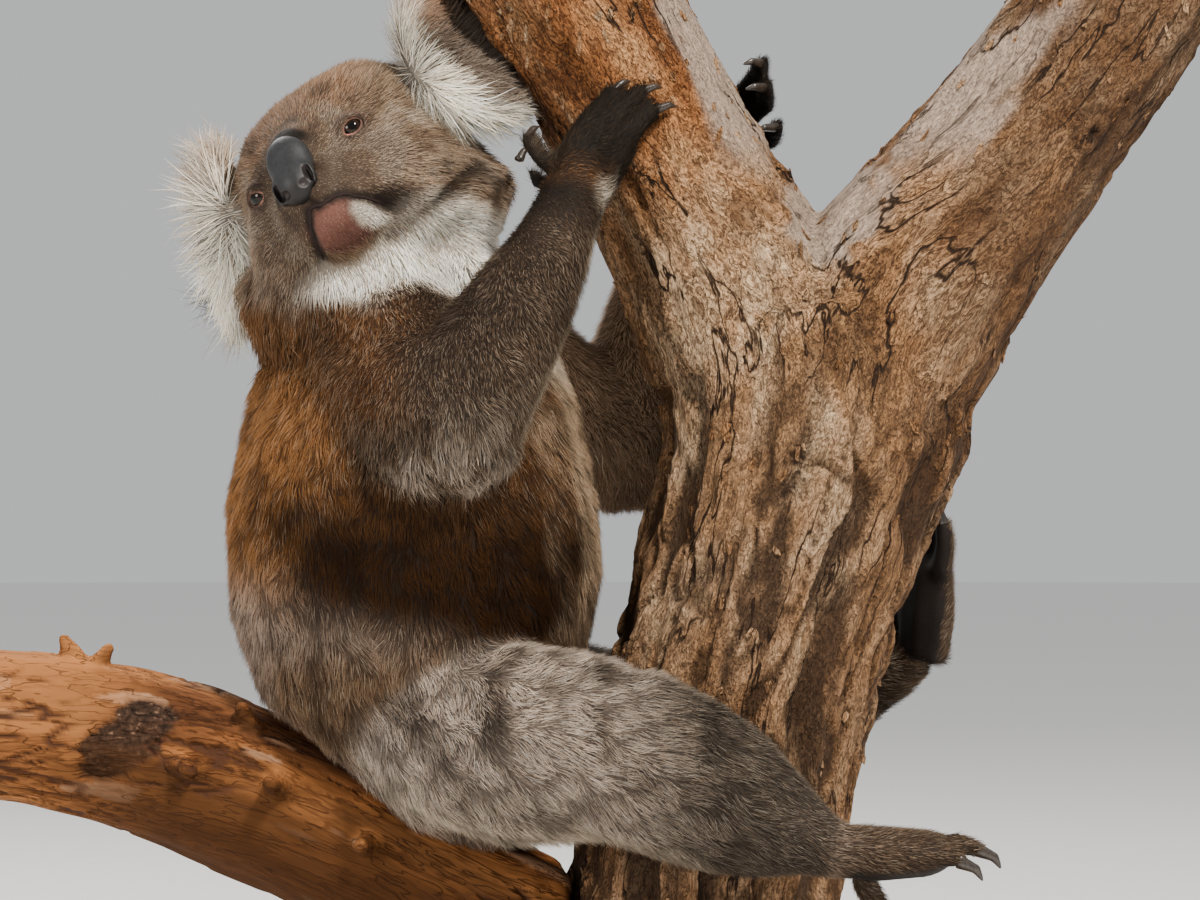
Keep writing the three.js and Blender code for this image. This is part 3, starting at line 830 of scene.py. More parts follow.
def markings(points, normals, shares):
    """The colour of the coat and skin at points on the body."""
    wave = cloudy(points, 0.035)
    fine = cloudy(points, 0.012, 5.0)
    head = in_head(points)
    colours = torso_colours(points, normals, wave)
    arm, leg = share_of(shares, "upper_arm", "forearm"), share_of(shares, "thigh", "shank")
    colours = blend(colours, arm_colours(points, normals, wave), smooth(0.3, 0.75, arm))
    colours = blend(colours, leg_colours(points, normals, wave), smooth(0.3, 0.7, leg))
    hand = smooth(0.35, 0.75, share_of(shares, "hand"))
    colours = blend(colours, HAND, hand)
    colours = blend(colours, THUMB, hand * near_thumbs(points, THUMBS_SHADE) * 1.3)
    colours = blend(colours, FOOT, smooth(0.35, 0.75, share_of(shares, "foot")))

    face = cheek_colours(points, head, wave)
    face = muzzle_colours(face, head, wave, fine)
    face = ear_colours(face, points, head, wave)
    front, _, up = head.T
    x, _, z = points.T / MM
    high = smooth(524, 542, z + wave[:, 1] * 5 + 0.12 * (x + 150))
    below = oval_reach(head, (66, 2, -48), (26, 26, 19))
    ruff = high * smooth(-105, -60, front) * smooth(1.0, 1.35, below)
    neck = blend(face, RUFF, smooth(-40, -58, up) * ruff)
    top = share_of(shares, "head", "ear", "neck")
    top *= 1 - share_of(shares, "neck") * (1 - high)
    colours = blend(colours, neck, smooth(0.35, 0.65, top))
    edge = smooth(0.1, 0.5, top + 0.3 * wave[:, 0]) * smooth(0.02, 0.12, top)
    colours = blend(colours, RUFF, smooth(-44, -60, up) * ruff * edge)
    return colours * (1 + 0.16 * wave[:, :1] + 0.12 * fine[:, :1])


# ---- the coat ----

def lie_of(points, normals, shares):
    """The way the tufts point, along the skin."""
    q = in_head(points)
    _, left, up = q.T
    from_nose = q - (88, 0, -6)
    from_nose[:, 2] += np.where(up < -30, -0.3 * (up + 30), 0)
    from_nose = from_nose / np.linalg.norm(from_nose, axis=1, keepdims=True)
    from_nose[:, 2] -= 0.5 * smooth(50, 90, np.abs(left)) * smooth(10, -30, up)
    head_way = from_nose @ HEAD_AXES
    way = np.zeros_like(points)
    for node, share in zip(FLESH, shares.T):
        if kind(node) == "head":
            way += share[:, None] * head_way
        elif kind(node) == "ear":
            side = 1 if node.endswith("left") else -1
            e = in_ear(points, side)
            spread = e - ear_pit(side) - (0, -34 * side, -14)
            spread[:, 1] = side * np.maximum(spread[:, 1] * side, 14)
            spread = spread / np.linalg.norm(spread, axis=1, keepdims=True)
            droop = (0.1, 0.3, -0.1) if side == 1 else (0.25, -0.35, -0.75)
            spread = spread + cloudy(points, 0.016, 7.0) * 0.5 + droop
            way += share[:, None] * (spread @ ear_axes(side) @ HEAD_AXES)
        else:
            known = LIE.get(node, LIE.get(kind(node)))
            way += share[:, None] * (np.array(known) / np.linalg.norm(known))
    plush = share_of(shares, "upper_arm", "forearm", "shank", "thigh", "chest", "rump")[:, None]
    way += cloudy(points, 0.045) * 0.22 + cloudy(points, 0.013, 3.0) * (0.25 + 0.25 * plush)
    way -= normals * np.einsum("ij,ij->i", way, normals)[:, None]
    return way / np.maximum(np.linalg.norm(way, axis=1, keepdims=True), 1e-6)


# The way each palm or sole faces.
PALMS = {
    "hand_right": (0.1, 1.0, -0.1),
    "hand_left": (0.75, -0.6, -0.2),
    "foot_right": (0.0, 0.1, -1.0),
    "foot_left": (-0.6, -0.8, 0.1),
}


def bare(points, normals, shares):
    """How thick the coat stands, from 0 on the bare places to 1."""
    q = in_head(points)
    cover = smooth(0.98, 1.06, nose_reach(q))
    for side in (1, -1):
        _, out, along, high = (v @ HEAD_AXES.T for v in eye_frame(EYES[0] if side == 1 else EYES[1]))
        rel = q - EYES_AT[side]
        ring = np.sqrt((rel @ along / 1.45) ** 2 + (rel @ high) ** 2)
        cover *= np.maximum(smooth(4.7, 5.5, ring), smooth(0, -3, rel @ out))
    cover *= 1 - 0.6 * smooth(1.1, 0.8, chin_reach(q)) * smooth(20, 12, q[:, 1])
    cover *= 1 - 0.9 * bell(lip_distance(q), 2.6)
    for node, palm in PALMS.items():
        share = shares[:, FLESH.index(node)]
        flat = smooth(*((0.1, 0.45) if node == "foot_left" else (0.5, 0.85)), normals @ unit(palm))
        cover *= 1 - smooth(0.4, 0.7, share) * flat
    return cover




def mesh_arrays(piece):
    """A piece's points, their normals and its triangles."""
    mesh = piece.data
    points = np.empty(len(mesh.vertices) * 3, np.float32)
    mesh.vertices.foreach_get("co", points)
    normals = np.empty(len(mesh.vertices) * 3, np.float32)
    mesh.vertices.foreach_get("normal", normals)
    mesh.calc_loop_triangles()
    corners = np.empty(len(mesh.loop_triangles) * 3, np.int32)
    mesh.loop_triangles.foreach_get("vertices", corners)
    return points.reshape(-1, 3).astype(float), normals.reshape(-1, 3).astype(float), corners.reshape(-1, 3)


def scattered(points, normals, triangles, density, rng):
    """Roots spread over triangles, with `density` (per square metre) given at the points."""
    a, b, c = (points[triangles[:, k]] for k in range(3))
    area = np.linalg.norm(np.cross(b - a, c - a), axis=1) / 2
    amount = np.cumsum(area * density[triangles].mean(axis=1))
    count = int(amount[-1])
    spots = (np.arange(count) + rng.random(count)) * (amount[-1] / count)
    pick = np.minimum(np.searchsorted(amount, spots), len(triangles) - 1)
    r, s = rng.random(count), rng.random(count)
    flip = r + s > 1
    r, s = np.where(flip, 1 - r, r), np.where(flip, 1 - s, s)
    mix = np.stack([1 - r - s, r, s], axis=1)[:, :, None]
    corners = triangles[pick]
    roots = (points[corners] * mix).sum(axis=1)
    ways = (normals[corners] * mix).sum(axis=1)
    return roots, ways / np.linalg.norm(ways, axis=1, keepdims=True)


def gathered(tips, every, pull, reach, rng):
    """Tips drawn together in clumps of about `every` tufts, and how far each lies between clumps."""
    lead = rng.choice(len(tips), max(1, len(tips) // every), replace=False)
    tree = kdtree.KDTree(len(lead))
    for index, at in enumerate(tips[lead]):
        tree.insert(at, index)
    tree.balance()
    nearest = np.array([tree.find(at)[1] for at in tips])
    away = tips[lead[nearest]] - tips
    far = np.linalg.norm(away, axis=1, keepdims=True)
    return away * pull * np.exp(-far / reach), smooth(0.9, 1.7, far[:, 0] / np.median(far))


def tuft_mesh(name, t, steps):
    """Closed three-sided spikes. `t` holds one row of numbers for each tuft."""
    count = len(t["root"])
    side = np.cross(t["normal"], t["way"])
    side /= np.linalg.norm(side, axis=1, keepdims=True)
    rings, shades, spans = [], [], []
    for k in range(steps + 1):
        s = k / steps
        along = t["length"] * (s - t["bend"] * s * s * 0.5 * np.sin(t["lift"]) * 0.35)
        rise = t["length"] * np.sin(t["lift"]) * (s - t["bend"] * s * s * 0.55)
        run = along * np.cos(t["lift"])
        sway = t["sway"] * t["length"] * s * s
        spot = t["root"] + t["way"] * run[:, None] + t["normal"] * (rise - t["sink"])[:, None]
        spot = spot + side * sway[:, None] + t["draw"] * (s * s)
        if k == steps:
            rings.append(spot[:, None])
            spans.append(np.zeros((count, 1)))
            shades.append(np.full((count, 1), 1.0))
            continue
        half = (t["width"] * (1 - 0.22 * s) * (0.75 if k == 0 else 1) / 2)[:, None]
        lifted = t["normal"] * half * 0.9
        rings.append(np.stack([spot - side * half, spot + side * half, spot + lifted], axis=1))
        spans.append(np.tile((-1.0, 1.0, 0.0), (count, 1)))
        shades.append(np.full((count, 3), s))
    points = np.concatenate(rings, axis=1)
    per = points.shape[1]
    shade_at = np.concatenate(shades, axis=1)
    span = np.concatenate(spans, axis=1)
    tris, quads = [(0, 2, 1)], []
    for k in range(steps - 1):
        o = 3 * k
        quads += [(o + i, o + j, o + 3 + j, o + 3 + i) for i, j in ((0, 1), (1, 2), (2, 0))]
    o = 3 * (steps - 1)
    tris += [(o + i, o + j, per - 1) for i, j in ((0, 1), (1, 2), (2, 0))]
    starts = (np.arange(count) * per)[:, None, None]
    lists = [(np.array(f)[None] + starts).reshape(-1, len(f[0])) for f in (tris, quads) if f]
    piece = mesh_object(name, points.reshape(-1, 3), lists)

    root, mid, tip = (t[key][:, None] for key in ("root_colour", "mid_colour", "tip_colour"))
    if steps == 1:
        root = (root + mid) / 2
    s = shade_at[:, :, None]
    colour = np.where(s < 0.5, root + (mid - root) * s * 2, mid + (tip - mid) * (s * 2 - 1))
    paint(piece, "coat", np.clip(colour, 0.002, 1).reshape(-1, 3))

    soft = t["normal"][:, None] * 0.8 + side[:, None] * span[:, :, None] * 0.55
    soft = soft + t["way"][:, None] * (s * 0.35) + t["stray"][:, None]
    layer = piece.data.attributes.new("custom_normal", "FLOAT_VECTOR", "POINT")
    soft = soft / np.linalg.norm(soft, axis=2, keepdims=True)
    layer.data.foreach_set("vector", soft.astype(np.float32).ravel())

    u = t["patch"][:, None, 0] + span * BAKE_PATCH / 2
    v = t["patch"][:, None, 1] + shade_at * BAKE_PATCH
    atlas = np.stack([u, v], axis=2).reshape(-1, 2)
    corners = np.empty(len(piece.data.loops), np.int32)
    piece.data.loops.foreach_get("vertex_index", corners)
    layer = piece.data.uv_layers.new(name="OFBake")
    layer.uv.foreach_set("vector", atlas[corners].astype(np.float32).ravel())
    return piece


def unwrapped(points, normals, shares):
    """A place on a flat sheet for each root: one tile for each part and each of its six sides."""
    node = shares.argmax(axis=1)
    axis = np.abs(normals).argmax(axis=1)
    face = axis * 2 + (np.take_along_axis(normals, axis[:, None], 1)[:, 0] > 0)
    tile = node * 6 + face
    across = int(np.ceil(np.sqrt(len(FLESH) * 6)))
    flat = np.empty((len(points), 2))
    for a, pair in enumerate(((1, 2), (0, 2), (0, 1))):
        flat[axis == a] = points[axis == a][:, pair]
    for n in range(len(FLESH)):
        rows = node == n
        if rows.any():
            low = flat[rows].min(axis=0)
            flat[rows] = (flat[rows] - low) / max((flat[rows] - low).max(), 1e-6)
    flat = flat * 0.9 + 0.04
    return (np.stack([tile % across, tile // across], axis=1) + flat) / across


# ---- the coat's own numbers ----

# The most triangles in one piece, the side of each tuft's place on the sheet for baking, the
# tufts on a square metre where COAT says 1, and the lengths where a tuft gets one more step.
PIECE_LIMIT = 190000
BAKE_PATCH = 0.003
TUFTS_EACH = 9.2e3
LONGER = (0.019, 0.036)
GROUPS = {
    "coat_head": ("head",),
    "coat_ears": ("ear",),
    "coat_neck": ("neck",),
    "coat_chest": ("chest",),
    "coat_rump": ("rump",),
    "coat_upper_arms": ("upper_arm",),
    "coat_forearms": ("forearm",),
    "coat_thighs": ("thigh",),
    "coat_shanks": ("shank",),
    "coat_paws": ("hand", "foot"),
}


def face_lengths(q):
    """The length of the head's tufts in millimetres: least at the nose and lips, most below."""
    front, left, up = q.T
    across = np.abs(left)
    length = 2.6 + 7.5 * smooth(16, 110, muzzle_reach(q)) + 9 * smooth(52, 85, across) * smooth(30, -30, up)
    length = length + 12 * smooth(-52, -78, up) * smooth(40, 0, front)
    length = length - (length - 2.2) * smooth(1.2, 0.8, chin_reach(q)) * 0.9
    length = length - (length - 2.0) * bell(lip_distance(q), 6.0) * 0.8
    return length + 8 * bell(up + 64, 12) * smooth(20, 45, front) * smooth(40, 25, across)


def coat_numbers(roots, normals, shares, rng):
    """Length, lift, width, bend and sway of the tuft at each root."""
    b = body()
    count = len(roots)
    table = shares @ b.table
    length, lift, width = table[:, 1] * MM, np.radians(table[:, 2]), table[:, 3] * MM
    q = in_head(roots)
    x, y, z = roots.T / MM
    head = smooth(0.35, 0.8, share_of(shares, "head"))
    length = length + (face_lengths(q) * MM - length) * head
    width = width + ((0.48 + 0.3 * smooth(20, 90, muzzle_reach(q))) * MM - width) * head
    for side in (1, -1):
        e = in_ear(roots, side)
        rim = smooth(0.55, 1.0, np.linalg.norm(e[:, 1:] / EAR_HALF[side][1:], axis=1))
        ear = share_of(shares, "ear") * (np.abs(e).max(axis=1) < 75)
        ear_length = (20 + (18 if side == 1 else 24) * rim) * MM
        inner = bell(np.linalg.norm(e - ear_pit(side), axis=1), 16) * (0.5 if side == 1 else 0.0)
        ear_length = ear_length * (1 - inner) * (0.7 + 0.4 * rng.random(count))
        length = length + (ear_length - length) * smooth(0.3, 0.7, ear)
        lift = lift + (math.radians(30) - lift) * smooth(0.3, 0.7, ear)
    arm = share_of(shares, "upper_arm", "forearm")
    elbow = bell(z - 430, 24) * arm * smooth(0.55, -0.1, normals[:, 2])
    length = length * (1 + 1.3 * elbow)
    length = length * (1 + 0.5 * near_thumbs(roots) * share_of(shares, "hand"))
    wrist = arm * smooth(548, 592, z)
    length = length * (1 - 0.5 * wrist)
    ankle = share_of(shares, "shank") * smooth(80, 125, x) * smooth(0, -60, y)
    length = length * (1 - 0.4 * ankle)
    mess = cloudy(roots, 0.02, 9.0)
    length = length * (0.82 + 0.36 * rng.random(count)) * (1 + 0.12 * mess[:, 0])
    lift = lift * (1 + 0.35 * mess[:, 1] + 0.25 * rng.normal(size=count))
    return {
        "length": length,
        "lift": np.clip(lift, math.radians(6), math.radians(70)),
        "width": width * (0.75 + 0.5 * rng.random(count)),
        "bend": 0.55 + 0.5 * rng.random(count),
        "sway": rng.normal(size=count) * (0.09 + 0.1 * share_of(shares, "ear", "neck")),
    }


def coat_colours(t, roots, normals, shares, rng, tint):
    """Each tuft's colours at its root, middle and tip, from the markings and a spread of its own."""
    count = len(roots)
    base = markings(roots, normals, shares) * tint
    plush = share_of(shares, "upper_arm", "forearm")
    spread = 0.16 + 0.2 * plush + 0.08 * share_of(shares, "head", "thigh", "shank")
    spread += 0.3 * share_of(shares, "hand", "foot")
    # Painted shade: tufts that lie between clumps are darkened by up to half; the rest of this factor is each
    # tuft's own random brightness.
    light = np.exp(rng.normal(size=count) * spread)[:, None] * (1 - 0.5 * t["between"])[:, None]
    warm = 1 + rng.normal(size=(count, 1)) * 0.05 * np.array((1, 0, -1))
    own = base * light * warm
    grey = base.mean(axis=1, keepdims=True)
    frosted = (rng.random(count) < 0.12 + 0.16 * plush)[:, None]
    frost = frosted * smooth(0.02, 0.06, grey) * smooth(0.5, 0.3, grey)
    t["root_colour"] = own * (0.5 + 0.45 * smooth(0.2, 0.6, grey))
    t["mid_colour"] = own
    t["tip_colour"] = own * 1.25 + frost * (0.22, 0.19, 0.15)


def coat_material():
    n = Nodes("koala_coat", roughness=0.8, Specular_IOR_Level=0.06)
    streak = n.noise(n.coords(), 900.0, 2.0)
    tone = n.ramp(streak, [(0.3, (0.78, 0.78, 0.78)), (0.7, (1.12, 1.12, 1.12))])
    n.link(n.mix(1.0, n.attribute("coat"), tone, "MULTIPLY"), "Base Color")
    return n.material


def make_coat(settings):
    """Tufts over the whole skin, parted into pieces by the part of the body they grow from."""
    b = body()
    skin = bpy.data.objects["koala_skin"]
    points, normals, triangles = mesh_arrays(skin)
    shares = b.shares(points)
    density = shares @ b.table[:, 4] * TUFTS_EACH * bare(points, normals, shares) * settings.thickness
    density *= smooth(0.0005, 0.003, b.rough.read(b.wood, points))
    rng = np.random.default_rng(4)
    roots, ways = scattered(points, normals, triangles, density, rng)
    shares = b.shares(roots)
    t = coat_numbers(roots, ways, shares, rng)
    t["root"], t["normal"] = roots, ways
    t["way"] = lie_of(roots, ways, shares)
    t["length"] *= settings.length
    t["sink"] = 0.0002 + 0.06 * t["length"]
    lift = t["lift"][:, None]
    tips = roots + (t["way"] * np.cos(lift) + ways * np.sin(lift)) * t["length"][:, None]
    wool = share_of(shares, "thigh", "shank", "rump", "neck", "chest") * smooth(0.008, 0.012, t["length"])
    near_draw, near_gap = gathered(tips, 12, 0.5, 0.005, rng)
    wide_draw, wide_gap = gathered(tips, 110, 0.42, 0.012, rng)
    near_draw *= (smooth(0.006, 0.012, t["length"]) * (1 - 0.65 * share_of(shares, "ear")))[:, None]
    t["draw"] = near_draw + wide_draw * wool[:, None]
    # How far each tuft lies between clumps; it darkens the tuft's colour as painted shade.
    t["between"] = (0.25 * near_gap + 0.9 * wide_gap * wool) * (1 - 0.6 * share_of(shares, "neck", "ear"))
    t["stray"] = rng.normal(size=(len(roots), 3)) * 0.12
    coat_colours(t, roots, ways, shares, rng, np.array(settings.tint))
    t["patch"] = unwrapped(roots, ways, shares)
    coat_pieces(t, shares.argmax(axis=1))


def coat_pieces(t, node):
    """The tufts' meshes, parted by group, by length and by the most triangles in a piece."""
    material = coat_material()
    for name, kinds in GROUPS.items():
        rows = np.isin(node, [i for i, n in enumerate(FLESH) if kind(n) in kinds])
        part = {key: value[rows] for key, value in t.items()}
        all_steps = 1 + np.searchsorted(LONGER, part["length"], side="right")
        for steps, label in ((1, "short"), (2, "middle"), (3, "long")):
            rows = np.nonzero(all_steps == steps)[0]
            if len(rows) < 30:
                continue
            most = PIECE_LIMIT // (6 * steps - 2)
            for number, some in enumerate(np.array_split(rows, math.ceil(len(rows) / most))):
                sub = {key: value[some] for key, value in part.items()}
                piece = tuft_mesh(f"{name}_{label}_{number + 1}", sub, steps)
                finish_piece(piece, material)


def skin_material():
    n = Nodes("koala_skin", roughness=0.75, Specular_IOR_Level=0.15)
    pores = n.noise(n.coords(), 700.0, 3.0)
    tone = n.ramp(pores, [(0.3, (0.55, 0.5, 0.48)), (0.7, (0.85, 0.8, 0.76))])
    n.link(n.mix(1.0, n.attribute("coat"), tone, "MULTIPLY"), "Base Color")
    n.bump(pores, 0.35, 0.0006)
    return n.material


def make_skin(settings):
    """One skin under the coat, with its sockets, lips and folds."""
    b = body()
    points, triangles, quads = b.fine.surface(b.field)
    skin = mesh_object("koala_skin", points, [triangles, quads])
    points, normals, _ = mesh_arrays(skin)
    shares = b.shares(points)
    colour = markings(points, normals, shares) * np.array(settings.tint)
    cover = bare(points, normals, shares)[:, None]
    colour = colour * (0.35 + 0.65 * (1 - cover))
    pads = share_of(shares, "hand", "foot")[:, None] * (1 - cover)
    colour = colour + (np.array((0.011, 0.008, 0.007)) - colour) * smooth(0.3, 0.6, pads)
    paint(skin, "coat", colour)
    finish_piece(skin, skin_material(), FLESH)


# ---- eyes, nose and claws ----

def ball(name, middle, radius, rings=40, sides=56, pole=(0, 0, 1)):
    mesh = bpy.data.meshes.new(name)
    bm = bmesh.new()
    bmesh.ops.create_uvsphere(bm, u_segments=sides, v_segments=rings, radius=radius)
    turn = Vector(pole).to_track_quat("Z", "Y").to_matrix().to_4x4()
    bmesh.ops.transform(bm, matrix=Matrix.Translation(Vector(middle)) @ turn, verts=bm.verts)
    for face in bm.faces:
        face.smooth = True
    bm.to_mesh(mesh)
    bm.free()
    return linked(name, mesh)


def eye_frame(node):
    """An eye's middle, the way it looks, and the two ways along and up its lids."""
    side = 1 if node.endswith("left") else -1
    out = np.array((0.84, side * 0.42, -0.26)) @ HEAD_AXES
    out /= np.linalg.norm(out)
    along = np.array((-0.5, side * 0.8, 0.33)) @ HEAD_AXES
    along -= out * (along @ out)
    along /= np.linalg.norm(along)
    return centre(node), out, along, np.cross(out, along) * side


def eye_material():
    """A wet black pupil, a thin brown iris and a dark rest, by the angle from the eye's axis."""
    n = Nodes("koala_eye", roughness=0.06, Specular_IOR_Level=0.24)
    grain = n.noise(n.coords(), 1400.0, 3.0)
    edge = n.math("ADD", n.attribute("off_axis", "Fac"), n.math("MULTIPLY", grain, 0.05))
    stops = [(0.0, (0.002, 0.0015, 0.001)), (0.22, (0.002, 0.0015, 0.001)), (0.3, (0.014, 0.006, 0.003))]
    stops += [(0.46, (0.009, 0.004, 0.002)), (0.55, (0.003, 0.002, 0.0015)), (0.95, (0.003, 0.002, 0.0015))]
    n.link(n.ramp(edge, stops), "Base Color")
    return n.material


def lid_material():
    """The bare skin of lids and lips, with fine pores."""
    n = Nodes("koala_lid", roughness=0.75, Specular_IOR_Level=0.15)
    pores = n.noise(n.coords(), 900.0, 3.0)
    tone = n.ramp(pores, [(0.3, (0.72, 0.7, 0.7)), (0.7, (1.1, 1.1, 1.1))])
    n.link(n.mix(1.0, n.attribute("coat"), tone, "MULTIPLY"), "Base Color")
    n.bump(pores, 0.3, 0.0004)
    return n.material


def make_eyes(settings):
    """Glossy eyeballs with a brown iris and a dark pupil, and a ring of lids round each."""
    glass, lid = eye_material(), lid_material()
    for node in EYES:
        middle, out, along, up = eye_frame(node)
        eye = ball(node + "_ball", middle, EYE_BALL, pole=out)
        points, _, _ = mesh_arrays(eye)
        ahead = (points - middle) @ out / EYE_BALL
        shade(eye, "off_axis", np.arccos(np.clip(ahead, -1, 1)) / math.pi * 2)
        finish_piece(eye, glass, (node,))
        finish_piece(lids(node, middle, out, along, up), lid)


def lids(node, middle, out, along, up):
    """A closed ring with an almond opening that lies on the eyeball and sinks into the skin."""
    turn = np.linspace(0, 2 * math.pi, 72, endpoint=False)
    half_long, half_high = EYE_HALF
    bow = np.sign(np.sin(turn)) * np.abs(np.sin(turn)) ** 1.25
    shape = np.stack([half_long * np.cos(turn), half_high * bow], axis=1)
    outer = np.stack([np.cos(turn), np.sin(turn)], axis=1)
    # how far out from the opening, how far from the eye's middle, how dark
    profile = [
        (0.0, 0.00765, 0.2), (0.02, 0.0079, 0.0), (0.07, 0.0082, 0.2), (0.2, 0.0086, 0.8),
        (0.4, 0.0088, 1.0), (0.7, 0.0082, 1.0), (1.0, 0.0064, 1.0), (0.8, 0.0068, 1.0), (0.3, 0.0074, 0.5),
    ]
    corner = smooth(0.3, 1.0, -np.cos(turn) - 0.3 * np.sin(turn))
    rim = blend(np.tile(LID_RIM, (len(turn), 1)), LID_PINK, corner)
    rows, tints = [], []
    for spread, radius, dark in profile:
        flat = shape * (1 - spread) + outer * LID_EDGE * spread
        reach = np.linalg.norm(flat, axis=1, keepdims=True)
        ahead = np.sqrt(np.maximum(0.0083 ** 2 - np.minimum(reach, 0.0082) ** 2, 0))
        way = flat[:, :1] * along + flat[:, 1:] * up + ahead * out
        way /= np.linalg.norm(way, axis=1, keepdims=True)
        rows.append(middle + way * radius)
        tints.append(blend(rim, LID_OUTER, np.full(len(turn), dark)))
    i = np.arange(len(turn))
    j = (i + 1) % len(turn)
    starts = [(k * len(turn), (k + 1) % len(rows) * len(turn)) for k in range(len(rows))]
    quads = np.concatenate([np.stack([a + i, a + j, b + j, b + i], axis=1) for a, b in starts])
    points = np.concatenate(rows)
    if volume(points, np.zeros((0, 3), int), quads) < 0:
        quads = quads[:, ::-1]
    piece = mesh_object(node + "_lids", points, [quads])
    paint(piece, "coat", np.concatenate(tints))
    return piece


def soft_min(a, b, width):
    """The lesser of two distances, with the corner between them rounded."""
    near = np.maximum(width - np.abs(a - b), 0) / width
    return np.minimum(a, b) - near * near * width / 4


def oval_at(q, middle, half):
    p = (q - middle) / half
    reach = np.linalg.norm(p, axis=1)
    slope = np.linalg.norm(p / half, axis=1)
    return reach * (reach - 1) / np.maximum(slope, 1e-9)


def nostril_at(q):
    """The distance of points of the head's frame from the two comma-shaped nostrils."""
    q = np.stack([q[:, 0], np.abs(q[:, 1]), q[:, 2]], axis=1)
    low = oval_at(q, (95.0, 7.8, -20.5), (5.5, 4.2, 3.3))
    return soft_min(low, oval_at(q, (92.0, 11.4, -15.0), (6.5, 2.2, 7.0)), 3.0)


def ring_faces(rows, sides):
    """The faces of a closed body of rings: the quads between them and a cap on each end."""
    i = np.arange(sides)
    j = (i + 1) % sides
    starts = [k * sides for k in range(rows - 1)]
    quads = [np.stack([a + i, a + j, a + sides + j, a + sides + i], axis=1) for a in starts]
    return [np.concatenate(quads), i[::-1][None], (i + (rows - 1) * sides)[None]]


def cord(name, places, radii, sides=8):
    """A closed round cord through places, with a radius for each."""
    ways = np.gradient(places, axis=0)
    ways /= np.linalg.norm(ways, axis=1, keepdims=True)
    across = np.cross(ways, HEAD_FRONT)
    across /= np.linalg.norm(across, axis=1, keepdims=True)
    up = np.cross(ways, across)
    turn = np.linspace(0, 2 * math.pi, sides, endpoint=False)[None, :, None]
    round_way = np.cos(turn) * across[:, None] + np.sin(turn) * up[:, None]
    rings = places[:, None] + round_way * radii[:, None, None]
    return mesh_object(name, rings.reshape(-1, 3), ring_faces(len(places), sides))


def make_mouth(settings):
    """The dark edge of the lips, from the far cheek under the nose to the near one."""
    near, far, _ = body().lines
    line = from_head(np.concatenate([far[::-1], near[1:]]))
    places = drawn_out(line, 90)
    for _ in range(6):
        places[1:-1] = (places[:-2] + places[1:-1] * 2 + places[2:]) / 4
    share = np.clip(np.linspace(0, 1, len(places)), 0.02, 0.98)
    radii = (0.25 + 0.95 * np.sin(math.pi * share) ** 0.6) * MM
    piece = cord("mouth_line", places, radii)
    paint(piece, "coat", np.tile((0.016, 0.009, 0.008), (len(piece.data.vertices), 1)))
    finish_piece(piece, bpy.data.materials["koala_lid"])


def nose_material():
    """Pebbled dark leather, darkest below, where painted shade lies, and inside the nostrils."""
    n = Nodes("koala_nose", roughness=0.5, Specular_IOR_Level=0.36)
    coords = n.coords()
    pebble = n.add("ShaderNodeTexVoronoi", {"Vector": coords, "Scale": 1100.0}, feature="DISTANCE_TO_EDGE")
    cloud = n.noise(coords, 420.0, 4.0)
    colour = n.ramp(cloud, [(0.3, (0.01, 0.01, 0.011)), (0.7, (0.019, 0.02, 0.022))])
    # Painted shade on the lower part of the pad.
    colour = n.mix(n.attribute("lower", "Fac"), colour, (0.004, 0.003, 0.003))
    colour = n.mix(n.attribute("hollow", "Fac"), colour, (0.012, 0.006, 0.006))
    n.link(colour, "Base Color")
    n.bump(pebble.outputs["Distance"], 0.35, 0.0003)
    return n.material


def make_nose(settings):
    """The leathery pad, with its two comma nostrils and the cleft under it."""
    low = np.array((66.0, -20.0, -34.0))
    step = 0.75
    shape = tuple(int(v) for v in np.ceil(np.array((36, 40, 64)) / step))
    axes = [low[k] + np.arange(shape[k]) * step for k in range(3)]
    q = np.stack(np.meshgrid(*axes, indexing="ij"), axis=-1).reshape(-1, 3)
    pad = soft_min(
        oval_at(q, (84.8, -1, -14), (10.8, 12.6, 13.4)), oval_at(q, (79.6, 0, 3), (11.0, 14.6, 18.2)), 9.0
    )
    across = np.abs(q[:, 1])
    nostril = nostril_at(q)
    wing = oval_at(np.stack([q[:, 0], across, q[:, 2]], 1), (88.6, 12.6, -15.5), (4.5, 2.0, 7.5))
    pad = soft_min(pad, wing, 4.0)
    cleft = oval_at(q, (97.5, -0.6, -24.0), (4.0, 0.9, 7.0))
    field = np.maximum(pad, -soft_min(nostril, cleft, 1.0))
    values = blurred(np.clip(field, -3, 3).reshape(shape).astype(np.float32), 1, 1)
    level = vdb.FloatGrid(3.0)
    level.copyFromArray(values)
    level.transform = vdb.createLinearTransform(voxelSize=step)
    spots, triangles, quads = level.convertToPolygons(0.0, 0.0)
    spots, triangles, quads = outer_shell(from_head(spots + low), triangles, quads)
    piece = mesh_object("nose_pad", spots, [triangles, quads])
    q = in_head(spots)
    shade(piece, "hollow", smooth(0.9, -0.6, nostril_at(q)))
    # Painted shade: the lower part of the pad is darkened.
    shade(piece, "lower", smooth(-8, -22, q[:, 2]))
    finish_piece(piece, nose_material(), ("nose",))


def claw_material():
    """Dark horn with streaks along the claw."""
    n = Nodes("koala_claw", roughness=0.28, Specular_IOR_Level=0.6)
    streak = n.noise(n.coords((1, 1, 0.3)), 700.0, 3.0)
    n.link(n.ramp(streak, [(0.3, (0.008, 0.006, 0.005)), (0.75, (0.045, 0.033, 0.025))]), "Base Color")
    n.bump(streak, 0.2, 0.0003)
    return n.material


